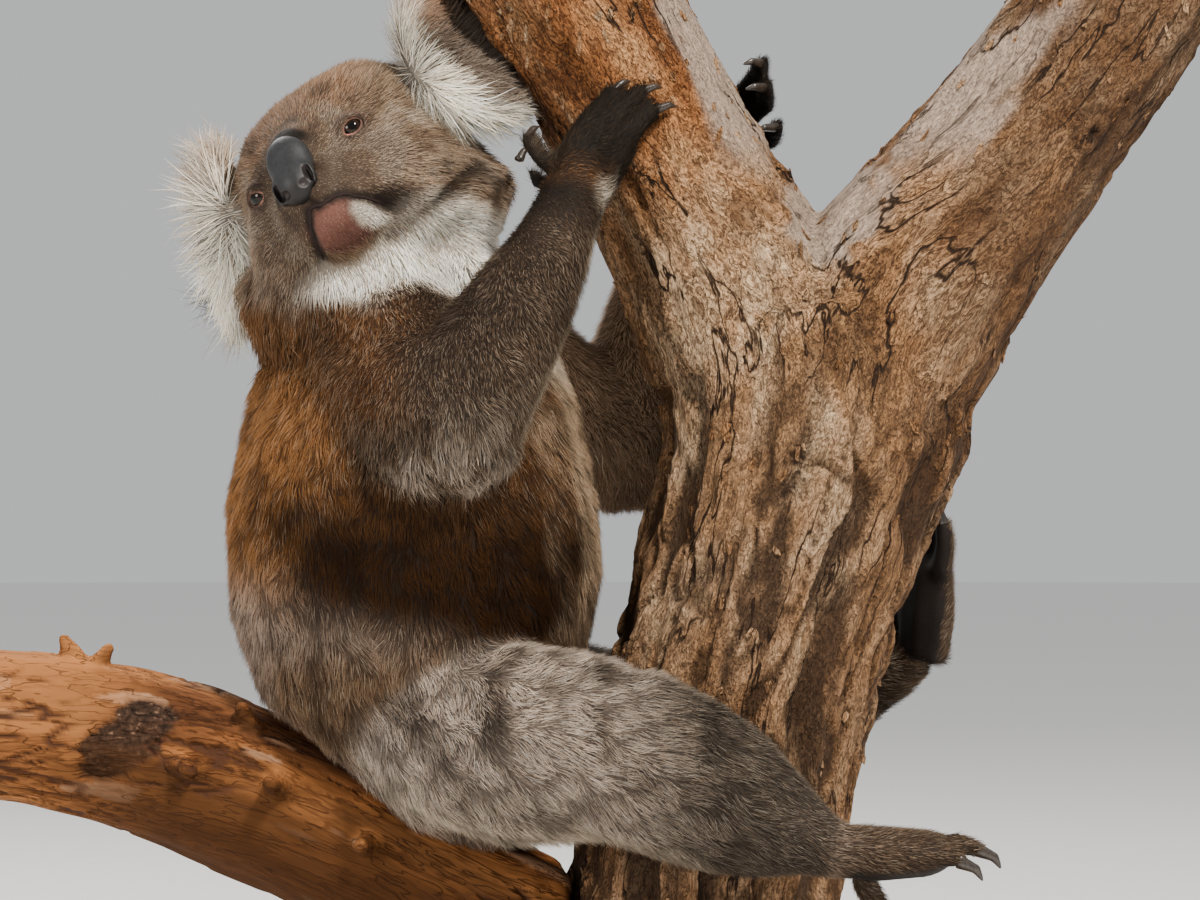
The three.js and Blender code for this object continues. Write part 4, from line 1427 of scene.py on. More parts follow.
def make_claws(settings):
    """Smooth curved claws in place of the plain ones, one piece for each paw."""
    material = claw_material()
    for paw in ("hand_right", "hand_left", "foot_right", "foot_left"):
        names = [c for c in CLAWS if c.startswith("claw_" + paw)]
        lists, parts, start = [], [], 0
        for name in names:
            grid = Grid.around([name], 0.0009, margin=4)
            values = blurred(grid.distances(*triangles_of(name), band=4), 1, 1)
            points, triangles, quads = grid.surface(values)
            parts.append(points)
            lists += [triangles.astype(np.int64) + start, quads.astype(np.int64) + start]
            start += len(points)
        piece = mesh_object("claws_" + paw, np.concatenate(parts), lists)
        finish_piece(piece, material, names)


# ---- the perch and the stand ----

# The middles of the limbs, in millimetres: the same routes as the solids have.
ROUTES = {
    "perch_trunk": ((54, 0, 74), (66, 0, 180), (92, 0, 310), (120, 0, 408), (135, 0, 470), (126, 0, 528)),
    "perch_fork_left": ((98, 0, 506), (62, 0, 580), (24, 0, 648), (-41, 0, 763)),
    "perch_fork_right": ((142, 0, 474), (196, 0, 546), (245, 0, 614), (298, 0, 684), (352, 0, 762)),
    "perch_branch": (
        (64, 0, 106), (0, 0, 118), (-92, 0, 163), (-186, 0, 213), (-272, 0, 249), (-334, 0, 264),
        (-405, 0, 272),
    ),
}


def limb_place(points, name):
    """For each point: how far it is from a limb's middle, and the limb's way there."""
    route = np.array(ROUTES[name]) * MM
    best = np.full(len(points), np.inf)
    way = np.zeros((len(points), 3))
    weights = np.zeros(len(points))
    for a, b in zip(route[:-1], route[1:]):
        length = np.linalg.norm(b - a)
        step = (b - a) / length
        t = np.clip((points - a) @ step, 0, length)
        far = np.linalg.norm(points - a - t[:, None] * step, axis=1)
        best = np.minimum(best, far)
        off = np.maximum(np.abs((points - a) @ step - length / 2) - length / 2, 0)
        weight = np.exp(-((off / 0.06) ** 2)) + 1e-6
        way += weight[:, None] * step
        weights += weight
    way /= weights[:, None]
    return best, way / np.linalg.norm(way, axis=1, keepdims=True)


def grain_of(points, names, origin, stretch):
    """Places with their length along the grain shortened, so that patterns draw out along it."""
    total = np.zeros((len(points), 3))
    for name in names:
        far, way = limb_place(points, name)
        weight = np.exp(-far / 0.03)
        total += weight[:, None] * way
    way = total / np.linalg.norm(total, axis=1, keepdims=True)
    lift = np.einsum("ij,ij->i", points - origin, way)
    return points - way * (lift * (1 - 1 / stretch))[:, None]


def cells(q, size):
    """Distances to the nearest and next nearest of scattered seeds, and the nearest one's number."""
    q = q / size
    cell = np.floor(q).astype(int)
    first = np.full(len(q), 9.0)
    second = np.full(len(q), 9.0)
    number = np.zeros(len(q))
    for step in np.ndindex(3, 3, 3):
        at = cell + np.array(step) - 1
        seed = LATTICE[at[:, 0] % 24, at[:, 1] % 24, at[:, 2] % 24]
        far = np.linalg.norm(at + 0.5 + seed * 0.45 - q, axis=1)
        nearer = far < first
        second = np.where(nearer, first, np.minimum(second, far))
        number = np.where(nearer, seed[:, 0] * 3.7 + seed[:, 1], number)
        first = np.where(nearer, far, first)
    return first, second, number


def sawn(points, normals, names):
    """1 on the cut ends of the limbs, and how far each point is from the limb's middle."""
    cut = np.zeros(len(points))
    ring = np.zeros(len(points))
    for name in names:
        route = np.array(ROUTES[name]) * MM
        ends = [(route[-1], route[-1] - route[-2])]
        if name == "perch_trunk":
            ends = [(route[0], route[0] - route[1])]
        for end, way in ends:
            way = way / np.linalg.norm(way)
            drop = (points - end) @ way
            far = np.linalg.norm(points - end - drop[:, None] * way, axis=1)
            here = (far < 0.1) & (drop > -0.006) & (normals @ way > 0.6)
            cut[here] = 1
            ring[far < 0.12] = far[far < 0.12]
    return cut, ring


def move_points(piece, points):
    piece.data.vertices.foreach_set("co", points.astype(np.float32).ravel())
    piece.data.update()


def vectors(piece, name, values):
    layer = piece.data.attributes.new(name, "FLOAT_VECTOR", "POINT")
    layer.data.foreach_set("vector", values.astype(np.float32).ravel())


# Knots and pits: the middle, the radius and the height of each, and of the hollow in it.
KNOTS = (
    ((0.304, -0.053, 0.631), 0.016, 1.0, -7.0), ((0.215, -0.066, 0.6), 0.011, 1.6, 0.0),
    ((0.05, -0.058, 0.63), 0.012, 1.4, 0.0), ((0.12, -0.085, 0.39), 0.013, 1.2, 0.0),
    ((0.118, -0.085, 0.431), 0.007, 0.0, -3.0), ((0.117, -0.085, 0.416), 0.0075, 0.0, -3.2),
)


# Where the grain of the trunk and of the branch is measured from, and how far it draws out the
# patterns of the bark's plates and of its long cracks.
TRUNK_FROM = (0.1, 0, 0.47)
BRANCH_FROM = (-0.15, 0, 0.18)
PLATE_STRETCH = 2.2
CRACK_STRETCH = 7.0


def worn_wood(points, normals, grain):
    """1 where the bark is gone: in the crotch and along the upper sides of the forks."""
    crotch = bell(np.linalg.norm((points - (0.145, -0.03, 0.585)) * (1, 0.7, 1), axis=1), 0.036)
    crotch = smooth(0.3, 0.55, crotch + 0.25 * ragged(points, 0.02))
    top = smooth(0.1, 0.6, normals[:, 0] * 0.5 * np.sign(0.14 - points[:, 0]) + normals[:, 2] * 0.9)
    top = top * smooth(0.6, 0.64, points[:, 2]) * smooth(-0.1, 0.25, ragged(grain, 0.04))
    return np.clip(crotch + top, 0, 1)


def furrows_of(points, grain, long, valley, low):
    """1 in the long cracks between plates: wide ones everywhere, and narrow ones lower down."""
    wander = cloudy(points, 0.045) * 0.008
    torn = 0.25 * cloudy(grain, 0.009)[:, 1]
    line = np.abs(cloudy(long + wander, 0.024)[:, 0] + torn)
    furrow = smooth(0.2, 0.03, line - 0.25 * valley)
    line = np.abs(cloudy(long + wander, 0.015, 8.0)[:, 2] + torn)
    return np.maximum(furrow, 0.75 * smooth(0.15, 0.02, line) * smooth(-0.1, 0.3, low - 0.3))


def knot_form(points):
    """How far the knots raise the bark in millimetres, and how much painted shade darkens their hollows."""
    height, hollow = np.zeros(len(points)), np.zeros(len(points))
    for at, size, rise, drop in KNOTS:
        far = np.linalg.norm(points - at, axis=1)
        height += rise * bell(far, size) + drop * bell(far, size * 0.45)
        if drop:
            hollow = np.maximum(hollow, bell(far, size * 0.5) + 0.6 * bell(far - size * 0.95, size * 0.16))
    return height, hollow


def make_trunk(settings):
    """The trunk and its two forks in one piece, with furrowed bark below and flaky bark above."""
    grid = Grid.around(WOOD, 0.0029, margin=5)
    joined = united(grid, WOOD, 0.0008)
    points, triangles, quads = grid.surface(blurred(joined, 1, 1) + 0.0004)
    trunk = mesh_object("tree_trunk", points, [triangles, quads])
    points, normals, _ = mesh_arrays(trunk)
    hollow_here = grid.read(blurred(joined, 4, 2), points)
    valley = smooth(0.0008, -0.0016, hollow_here - grid.read(blurred(joined, 12, 2), points) * 0.25)
    grain = grain_of(points, WOOD, TRUNK_FROM, PLATE_STRETCH)
    long = grain_of(points, WOOD, TRUNK_FROM, CRACK_STRETCH)
    low = smooth(0.56, 0.38, points[:, 2])
    layers = ragged(grain + cloudy(points, 0.045) * 0.008, 0.026) * 2.6
    plate = np.floor(layers) + smooth(0.35, 0.65, layers - np.floor(layers))
    furrow = furrows_of(points, grain, long, valley, low)
    worn = worn_wood(points, normals, grain)
    cut, ring = sawn(points, normals, WOOD)
    height = np.clip(plate * 1.15, -2.6, 2.4) * (1 - 0.85 * worn)
    height += cloudy(grain, 0.011, 2.0)[:, 1] * 1.5 * (1 - 0.7 * worn) + cloudy(grain, 0.006)[:, 0] * 0.6
    height -= 3.8 * furrow * (0.45 + 0.55 * low) * (1 - 0.7 * worn)
    knots, hollow = knot_form(points)
    height = (height + knots) * settings.bark_depth * (1 - cut)
    move_points(trunk, points + normals * (height * MM)[:, None])
    # Partly the bark's own dark cracks, partly painted shade: the furrows and the knots' hollows are darkened
    # where shadow lies in them.
    shade(trunk, "crack", np.clip(0.85 * furrow * (0.3 + 0.7 * low) * (1 - worn) + hollow, 0, 1))
    shade(trunk, "low", low)
    shade(trunk, "smooth_wood", worn)
    shade(trunk, "warm", smooth(0.57, 0.64, points[:, 2]) * smooth(0.12, 0.06, points[:, 0]) * (1 - worn))
    shade(trunk, "light", bell(points[:, 2] - 0.46, 0.11) * smooth(0.2, 0.13, points[:, 0]))
    # Painted shade: the right fork is darkened towards a deep brown, a little unevenly, as if it stood in
    # shade.
    shade(trunk, "brown", smooth(0.17, 0.26, points[:, 0]) * (1 - worn) * (0.75 + 0.25 * ragged(grain, 0.03)))
    shade(trunk, "cut", cut)
    shade(trunk, "ring", ring)
    vectors(trunk, "grain", grain)
    vectors(trunk, "long", long)
    finish_piece(trunk, trunk_material("tree_bark"), WOOD)
    bark_flakes(trunk, settings)


def ring_wood(n, colour, rings):
    """Sawn wood's year rings laid over a colour where the attribute `cut` says so."""
    wobble = n.math("MULTIPLY", n.noise(n.coords(), 30.0), 0.006)
    reach = n.math("ADD", n.attribute("ring", "Fac"), wobble)
    wave = n.math("FRACT", n.math("MULTIPLY", reach, rings))
    wood = n.ramp(wave, [(0.0, (0.5, 0.32, 0.17)), (0.75, (0.36, 0.2, 0.1)), (1.0, (0.22, 0.12, 0.06))])
    return n.mix(n.attribute("cut", "Fac"), colour, wood)


def trunk_material(name):
    """Crumbling bark: torn layers stepped one above another, and long wandering cracks."""
    n = Nodes(name, roughness=0.92, Specular_IOR_Level=0.15)
    grain = n.attribute("grain", "Vector")
    warp = n.add("ShaderNodeTexNoise", {"Vector": grain, "Scale": 60.0, "Detail": 2.0}).outputs["Color"]
    warp = n.add("ShaderNodeVectorMath", {0: warp, "Scale": 0.009}, operation="SCALE").outputs[0]
    bent = n.add("ShaderNodeVectorMath", {0: grain, 1: warp}, operation="ADD").outputs[0]
    long = n.attribute("long", "Vector")
    long = n.add("ShaderNodeVectorMath", {0: long, 1: warp}, operation="ADD").outputs[0]
    wide = n.noise(bent, 58.0, 6.0, 0.6)
    small = n.noise(bent, 150.0, 5.0, 0.62)
    fine = n.noise(grain, 560.0, 4.0, 0.7)
    split = n.noise(long, 46.0, 4.0, 0.5)

    wide_height, wide_shade = n.steps(wide, (0.4, 0.47, 0.54, 0.61), 0.25)
    small_height, small_shade = n.steps(small, (0.43, 0.5, 0.57), 0.33)
    tone = n.noise(bent, 24.0, 4.0, 0.6)
    colour = n.ramp(tone, [
        (0.32, (0.15, 0.08, 0.038)), (0.44, (0.25, 0.135, 0.065)), (0.53, (0.33, 0.205, 0.12)),
        (0.62, (0.38, 0.27, 0.175)), (0.72, (0.32, 0.17, 0.08)),
    ])
    colour = n.mix(1.0, colour, wide_shade, "MULTIPLY")
    colour = n.mix(0.8, colour, small_shade, "MULTIPLY")
    dust = n.ramp(fine, [(0.34, (0.5, 0.46, 0.42)), (0.5, (1.0, 0.97, 0.94)), (0.68, (1.35, 1.28, 1.18))])
    colour = n.mix(1.0, colour, dust, "MULTIPLY")
    # Painted shade and light: the low terraces of the bark are darkened and the high ones lightened, as light
    # falls on them.
    deep = n.ramp(wide_height, [(0.0, (0.62, 0.56, 0.5)), (0.5, (0.95, 0.93, 0.9)), (1.0, (1.1, 1.1, 1.1))])
    colour = n.mix(1.0, colour, deep, "MULTIPLY")
    colour = n.mix(n.math("MULTIPLY", n.attribute("low", "Fac"), 0.3), colour, (0.19, 0.11, 0.06))
    # Painted shade over the right fork.
    colour = n.mix(n.math("MULTIPLY", n.attribute("brown", "Fac"), 0.85), colour, (0.052, 0.025, 0.012))
    colour = n.mix(n.attribute("warm", "Fac"), colour, (0.95, 0.74, 0.56), "MULTIPLY")
    colour = n.mix(n.attribute("light", "Fac"), colour, (1.22, 1.32, 1.42), "MULTIPLY")
    pale = n.ramp(fine, [(0.35, (0.24, 0.18, 0.14)), (0.65, (0.46, 0.36, 0.29))])
    colour = n.mix(n.math("MULTIPLY", n.attribute("smooth_wood", "Fac"), 0.85), colour, pale)
    line = n.ramp(split, [(0.484, (0, 0, 0)), (0.496, (1, 1, 1)), (0.504, (1, 1, 1)), (0.516, (0, 0, 0))])
    spare = n.ramp(n.noise(grain, 16.0, 2.0), [(0.4, (0, 0, 0)), (0.52, (1, 1, 1))])
    line = n.math("MULTIPLY", line, spare)
    # The thin split lines, and the crack attribute's dark, which is partly painted shade in the furrows and
    # hollows.
    crack = n.math("MAXIMUM", n.attribute("crack", "Fac"), line)
    colour = n.mix(crack, colour, (0.022, 0.011, 0.006))
    n.link(ring_wood(n, colour, 260.0), "Base Color")
    height = n.math("ADD", n.math("MULTIPLY", wide_height, 0.9), n.math("MULTIPLY", small_height, 0.55))
    height = n.math("ADD", height, n.math("MULTIPLY", n.noise(bent, 230.0, 3.0), 0.9))
    height = n.math("ADD", height, n.math("MULTIPLY", fine, 0.35))
    height = n.math("SUBTRACT", height, n.math("MULTIPLY", crack, 0.8))
    n.bump(height, 1.0, 0.0062)
    return n.material


FLAKE_SIZE = 0.0042


def flake_shape():
    """One curled flake of bark, a closed thin plate with a ragged outline."""
    mesh = bpy.data.meshes.new("flake_shape")
    bm = bmesh.new()
    outline = ((-1, -0.5), (-0.2, -0.75), (0.8, -0.45), (1.1, 0.15), (0.4, 0.65), (-0.7, 0.55))
    rows = [[bm.verts.new((x, y * 0.8, z + 0.16 * x * x)) for x, y in outline] for z in (-0.1, 0.1)]
    bm.faces.new(rows[1])
    bm.faces.new(rows[0][::-1])
    for k in range(len(outline)):
        j = (k + 1) % len(outline)
        bm.faces.new((rows[0][k], rows[0][j], rows[1][j], rows[1][k]))
    bm.normal_update()
    bm.to_mesh(mesh)
    bm.free()
    return linked("flake_shape", mesh)


def flake_tree(shape, material):
    """The node tree that scatters, turns and sizes flakes, then makes them real meshes."""
    tree = bpy.data.node_groups.new("scatter_flakes", "GeometryNodeTree")
    for label, sort in (("Geometry", "Geometry"), ("Flakes per m2", "Float"), ("Size", "Float")):
        tree.interface.new_socket(label, in_out="INPUT", socket_type="NodeSocket" + sort)
    tree.interface.new_socket("Geometry", in_out="OUTPUT", socket_type="NodeSocketGeometry")

    def node(kind_name, inputs=None, **settings):
        return add_node(tree, kind_name, inputs, **settings)

    def between(low, high, seed):
        inputs = {0: low, 1: high, "Seed": seed}
        return node("FunctionNodeRandomValue", inputs, data_type="FLOAT_VECTOR").outputs["Value"]

    start = node("NodeGroupInput").outputs
    flaky = node("GeometryNodeInputNamedAttribute", {"Name": "flaky"}, data_type="FLOAT")
    share = node("ShaderNodeMath", {0: start["Flakes per m2"], 1: flaky.outputs["Attribute"]},
                 operation="MULTIPLY")
    spread = node("GeometryNodeDistributePointsOnFaces",
                  {"Mesh": start["Geometry"], "Density": share.outputs[0], "Seed": 7}).outputs
    align = node("FunctionNodeAlignRotationToVector", {"Rotation": spread["Rotation"], "Vector": (0.1, 0, 1)},
                 axis="X", pivot_axis="Z")
    twist = between((-0.25, -0.3, -0.5), (0.25, 0.3, 0.5), 5)
    turn = node("FunctionNodeRotateRotation", {"Rotation": align.outputs["Rotation"], "Rotate By": twist},
                rotation_space="LOCAL")
    size = between((0.5, 0.4, 0.3), (1.5, 1.2, 1.0), 3)
    scale = node("ShaderNodeVectorMath", {0: size, "Scale": start["Size"]}, operation="SCALE")
    source = node("GeometryNodeObjectInfo", {"Object": shape})
    place = node("GeometryNodeInstanceOnPoints", {
        "Points": spread["Points"], "Instance": source.outputs["Geometry"],
        "Rotation": turn.outputs["Rotation"], "Scale": scale.outputs[0],
    })
    real = node("GeometryNodeRealizeInstances", {"Geometry": place.outputs["Instances"]})
    done = node("GeometryNodeSetMaterial", {"Geometry": real.outputs["Geometry"], "Material": material})
    node("NodeGroupOutput", {"Geometry": done.outputs["Geometry"]})
    return tree


def bark_flakes(trunk, settings):
    """Loose flakes scattered over the bark by a node tree with named inputs and a fixed seed."""
    material = trunk_material("bark_flake")
    shape = flake_shape()
    tree = flake_tree(shape, material)
    points, normals, _ = mesh_arrays(trunk)
    cut, _ = sawn(points, normals, WOOD)
    flaky = 0.25 + 0.75 * smooth(0.42, 0.6, points[:, 2]) * smooth(0.16, 0.1, points[:, 0])
    shade(trunk, "flaky", flaky * (1 - cut) * smooth(0.06, 0.09, points[:, 2]))
    host = linked("bark_flakes_host", trunk.data)
    modifier = host.modifiers.new("scatter", "NODES")
    modifier.node_group = tree
    inputs = {s.name: s.identifier for s in tree.interface.items_tree if s.in_out == "INPUT"}
    modifier[inputs["Flakes per m2"]] = float(settings.flakes)
    modifier[inputs["Size"]] = FLAKE_SIZE
    bpy.context.view_layer.update()
    ready = host.evaluated_get(bpy.context.evaluated_depsgraph_get())
    mesh = bpy.data.meshes.new_from_object(ready)
    bpy.data.objects.remove(host)
    bpy.data.objects.remove(shape)
    for name in list(mesh.attributes.keys()):
        if name not in ("position", "material_index", "sharp_face") and not name.startswith("."):
            mesh.attributes.remove(mesh.attributes[name])
    flakes = linked("bark_flakes", mesh)
    points, _, _ = mesh_arrays(flakes)
    for name, stretch in (("grain", PLATE_STRETCH), ("long", CRACK_STRETCH)):
        vectors(flakes, name, grain_of(points, WOOD, TRUNK_FROM, stretch))
    finish_piece(flakes, material)


# The broken patch on the near side, and the stubs.
WOUND_AT = (-0.29, -0.045, 0.262)
WOUND_HALF = (0.035, 0.03, 0.0185)
STUBS = (
    # where it leaves the branch, where it ends (millimetres), radius there and at the end
    ((-196, -44, 232), (-200, -66, 237), 9.0, 5.5),
    ((-142, -46, 196), (-146, -62, 198), 7.5, 5.0),
    ((-325, -8, 309), (-331, -12, 322), 8.0, 4.5),
    ((-312, -12, 305), (-303, -16, 316), 6.5, 4.0),
    ((-215, -30, 269), (-220, -38, 281), 7.0, 3.5),
    ((-262, -40, 248), (-250, -60, 244), 8.0, 5.0),
)


def with_stubs(grid, field):
    """The branch's field with the stubs of twigs grown onto it."""
    spots = grid.points()
    values = field.reshape(-1)
    for start, end, wide, narrow in STUBS:
        a, b = np.array(start) * MM, np.array(end) * MM
        near = np.linalg.norm(spots - (a + b) / 2, axis=1) < 0.045
        p = spots[near]
        t = np.clip(((p - a) @ (b - a)) / ((b - a) @ (b - a)), 0, 1)
        far = np.linalg.norm(p - a - t[:, None] * (b - a), axis=1)
        stub = far - (wide + (narrow - wide) * t) * MM + cloudy(p, 0.006)[:, 0] * 0.0012
        values[near] = soft_min(values[near] / MM, stub / MM, 5.0) * MM
    return values.reshape(grid.shape).astype(np.float32)


def branch_material():
    """Smooth orange wood under peeling strips, with painted shade below and painted light on the upper side
    of its far end, and a black broken patch.
    """
    n = Nodes("branch_wood", roughness=0.85, Specular_IOR_Level=0.1)
    line = n.attribute("grain", "Vector")
    broad = n.noise(line, 22.0, 5.0, 0.55)
    fine = n.noise(line, 300.0, 4.0, 0.6)
    peel_height, peel_shade = n.steps(n.noise(line, 34.0, 5.0, 0.58), (0.42, 0.5, 0.58), 0.33)
    colour = n.ramp(broad, [
        (0.3, (0.05, 0.019, 0.008)), (0.43, (0.14, 0.053, 0.018)), (0.54, (0.26, 0.102, 0.032)),
        (0.7, (0.4, 0.172, 0.062)),
    ])
    tone = n.ramp(fine, [(0.3, (0.7, 0.68, 0.66)), (0.65, (1.12, 1.1, 1.08))])
    colour = n.mix(1.0, colour, tone, "MULTIPLY")
    colour = n.mix(0.85, colour, peel_shade, "MULTIPLY")
    strip = n.ramp(fine, [(0.3, (0.2, 0.1, 0.055)), (0.7, (0.34, 0.2, 0.12))])
    colour = n.mix(n.math("MULTIPLY", n.attribute("torn", "Fac"), 0.75), colour, strip)
    bits = n.ramp(n.noise(n.coords(), 260.0), [
        (0.35, (0.008, 0.005, 0.004)), (0.62, (0.05, 0.028, 0.018)), (0.75, (0.22, 0.13, 0.08)),
    ])
    colour = n.mix(n.attribute("broken", "Fac"), colour, bits)
    # Painted light on the upper side of the far end.
    colour = n.mix(n.math("MULTIPLY", n.attribute("pale", "Fac"), 0.5), colour, (0.42, 0.165, 0.055))
    # Painted shade on the underside near the trunk.
    colour = n.mix(n.math("MULTIPLY", n.attribute("under", "Fac"), 0.88), colour, (0.045, 0.017, 0.005))
    thin = n.noise(line, 120.0, 2.0)
    hair = n.ramp(thin, [(0.488, (0, 0, 0)), (0.5, (1, 1, 1)), (0.512, (0, 0, 0))])
    crack = n.math("MAXIMUM", n.attribute("crack", "Fac"), n.math("MULTIPLY", hair, 0.55))
    colour = n.mix(crack, colour, (0.05, 0.02, 0.01))
    n.link(ring_wood(n, colour, 300.0), "Base Color")
    height = n.math("ADD", n.math("MULTIPLY", fine, 0.35), peel_height)
    n.bump(n.math("SUBTRACT", height, n.math("MULTIPLY", crack, 0.9)), 0.8, 0.0028)
    return n.material


def make_branch(settings):
    """The smooth side branch, with long flutes, torn strips and the stubs of lost twigs."""
    grid = Grid.around(["perch_branch"], 0.0026, margin=6)
    field = blurred(united(grid, ["perch_branch"], 0.0), 2, 1) + 0.0008
    points, triangles, quads = grid.surface(with_stubs(grid, field))
    branch = mesh_object("tree_branch", points, [triangles, quads])
    points, normals, _ = mesh_arrays(branch)
    grain = grain_of(points, ["perch_branch"], BRANCH_FROM, CRACK_STRETCH)
    flute = cloudy(grain, 0.012)[:, 0] * 1.1 + cloudy(grain, 0.03, 2.0)[:, 1] * 1.8
    strips = cloudy(grain, 0.009, 7.0)[:, 2] + 0.5 * cloudy(points, 0.06, 3.0)[:, 0]
    torn = smooth(0.42, 0.5, strips)
    first, second, _ = cells(grain, 0.012)
    split = smooth(0.10, 0.02, second - first) * smooth(-0.1, 0.4, cloudy(points, 0.05, 4.0)[:, 1])
    slant = (points - WOUND_AT) @ np.array(((0.88, 0, 0.47), (0, 1, 0), (-0.47, 0, 0.88))).T
    wound = np.linalg.norm(slant / WOUND_HALF, axis=1) + 0.17 * ragged(grain, 0.012)
    bits = cells(grain * (1, 1, 2.2), 0.008)
    broken = smooth(1.04, 0.92, wound)
    splinter = broken * ragged(grain, 0.007)
    cut, ring = sawn(points, normals, ["perch_branch"])
    height = flute + 0.9 * torn - 1.4 * split + broken * (bits[2] * 0.6 - 3.0) + 2.6 * splinter
    move_points(branch, points + normals * (height * (1 - cut) * MM)[:, None])
    shade(branch, "torn", torn)
    shade(branch, "crack", np.clip(split, 0, 1))
    shade(branch, "broken", broken)
    shade(branch, "cut", cut)
    shade(branch, "ring", ring)
    high = normals[:, 2] + 0.2 * ragged(grain, 0.04)
    # Painted shade: the underside near the trunk is darkened.
    shade(branch, "under", smooth(0.72, -0.05, high) * smooth(-0.38, -0.26, points[:, 0]))
    # Painted light: the upward-facing side of the far end is made paler, as where light falls on it.
    shade(branch, "pale", smooth(-0.25, -0.34, points[:, 0]) * smooth(-0.3, 0.3, high) * (1 - broken))
    vectors(branch, "grain", grain)
    finish_piece(branch, branch_material(), ("perch_branch",))


ROD_SIDES = 64
ROD_BEVEL = 0.0008


def base_material():
    """Dark varnished wood with its grain along the base."""
    n = Nodes("base_wood", roughness=0.38, Coat_Weight=0.35, Coat_Roughness=0.25)
    wave = n.noise(n.coords((1.0, 9.0, 9.0)), 9.0, 6.0, 0.6)
    pore = n.noise(n.coords((6.0, 160.0, 160.0)), 6.0, 3.0)
    stops = [(0.3, (0.075, 0.04, 0.022)), (0.55, (0.13, 0.07, 0.038)), (0.7, (0.19, 0.11, 0.06))]
    dots = n.ramp(pore, [(0.35, (0.6, 0.58, 0.56)), (0.5, (1, 1, 1))])
    n.link(n.mix(1.0, n.ramp(wave, stops), dots, "MULTIPLY"), "Base Color")
    n.bump(pore, 0.12, 0.0004)
    return n.material


def steel_material():
    """Brushed steel."""
    n = Nodes("rod_steel", roughness=0.3, Metallic=1.0)
    brush = n.noise(n.coords((1.0, 1.0, 60.0)), 60.0, 2.0)
    n.link(n.ramp(brush, [(0.3, (0.42, 0.42, 0.43)), (0.7, (0.56, 0.56, 0.57))]), "Base Color")
    n.bump(brush, 0.05, 0.0002)
    return n.material


def make_stand(settings):
    """A finish for the base, and smooth round rods."""
    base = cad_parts["stand_base"]
    base.data.materials.clear()
    base.data.materials.append(base_material())
    steel = steel_material()
    turn = np.linspace(0, 2 * math.pi, ROD_SIDES, endpoint=False)
    circle = np.stack([np.cos(turn), np.sin(turn), np.zeros(ROD_SIDES)], axis=1)
    for node in ("stand_rod_1", "stand_rod_2"):
        low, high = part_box(node)
        middle = (low + high) / 2
        radius = (high.x - low.x) / 2
        rows = [(radius - ROD_BEVEL, low.z), (radius, low.z + ROD_BEVEL)]
        rows += [(radius, high.z - ROD_BEVEL), (radius - ROD_BEVEL, high.z)]
        points = np.concatenate([circle * r + (middle.x, middle.y, z) for r, z in rows])
        rod = mesh_object(node + "_round", points, ring_faces(len(rows), ROD_SIDES))
        finish_piece(rod, steel, (node,))


LIGHTS = (
    # name, place, aim, size, power, colour
    ("key_light", (1.1, -1.9, 2.7), (0.0, 0.0, 0.45), 0.5, 205.0, (1.0, 0.94, 0.84)),
    ("fill_light", (-2.6, -2.0, 1.1), (-0.15, 0.0, 0.5), 1.2, 62.0, (1.0, 0.97, 0.93)),
    ("rim_light", (-1.2, 2.2, 2.4), (0.0, 0.0, 0.5), 1.2, 50.0, (1.0, 0.97, 0.93)),
)
SKY = (0.93, 0.94, 0.95, 1)
SKY_STRENGTH = 0.62
FLOOR_RADIUS = 14.0
CAMERA_AT = (0.0, -3.2, 0.439)
CAMERA_LENS = 154.8


def make_floor():
    mesh = bpy.data.meshes.new("studio_floor")
    bm = bmesh.new()
    bmesh.ops.create_circle(bm, cap_ends=True, segments=96, radius=FLOOR_RADIUS)
    bm.to_mesh(mesh)
    bm.free()
    n = Nodes("studio_floor", roughness=0.9)
    speck = n.noise(n.coords(), 60.0)
    n.link(n.ramp(speck, [(0.3, (0.84, 0.835, 0.82)), (0.7, (0.87, 0.865, 0.85))]), "Base Color")
    mesh.materials.append(n.material)
    linked("studio_floor", mesh)


def make_lights(scene):
    world = bpy.data.worlds.new("studio")
    world.use_nodes = True
    back = world.node_tree.nodes["Background"]
    back.inputs["Color"].default_value = SKY
    back.inputs["Strength"].default_value = SKY_STRENGTH
    scene.world = world
    for name, place, aim, size, power, colour in LIGHTS:
        data = bpy.data.lights.new(name, "AREA")
        data.shape = "DISK"
        data.size = size
        data.energy = power
        data.color = colour
        light = linked(name, data)
        light.location = place
        light.rotation_euler = (Vector(aim) - Vector(place)).to_track_quat("-Z", "Y").to_euler()


def make_camera(scene):
    lens = bpy.data.cameras.new("camera")
    lens.lens = CAMERA_LENS
    lens.sensor_width = 36.0
    lens.dof.use_dof = False
    camera = linked("camera", lens)
    camera.location = CAMERA_AT
    camera.rotation_euler = (math.radians(90), 0.0, 0.0)
    scene.camera = camera


def make_stage(settings):
    """A pale floor, soft studio lights and the camera."""
    scene = bpy.context.scene
    make_floor()
    make_lights(scene)
    make_camera(scene)


# ---- the add-on ----

class KoalaSettings(bpy.types.PropertyGroup):
    """The sizes and amounts that change the model's look."""

    thickness: bpy.props.FloatProperty(
        name="Coat thickness", description="How many tufts grow, against the usual number",
        default=1.0, min=0.1, max=1.5, subtype="FACTOR",
    )
    length: bpy.props.FloatProperty(
        name="Coat length", description="How long the tufts are, against their usual length",
        default=1.0, min=0.5, max=1.2, subtype="FACTOR",
    )
    tint: bpy.props.FloatVectorProperty(
        name="Coat tint", description="A colour that the coat's own colours are multiplied by",
        default=(1.0, 1.0, 1.0), size=3, min=0.0, max=1.0, subtype="COLOR",
    )
    bark_depth: bpy.props.FloatProperty(
        name="Bark depth", description="How deep the furrows of the bark are, against their usual depth",
        default=1.0, min=0.0, max=1.5, subtype="FACTOR",
    )
    flakes: bpy.props.IntProperty(
        name="Bark flakes", description="How many loose flakes lie on a square metre of flaky bark",
        default=3200, min=0, max=12000,
    )


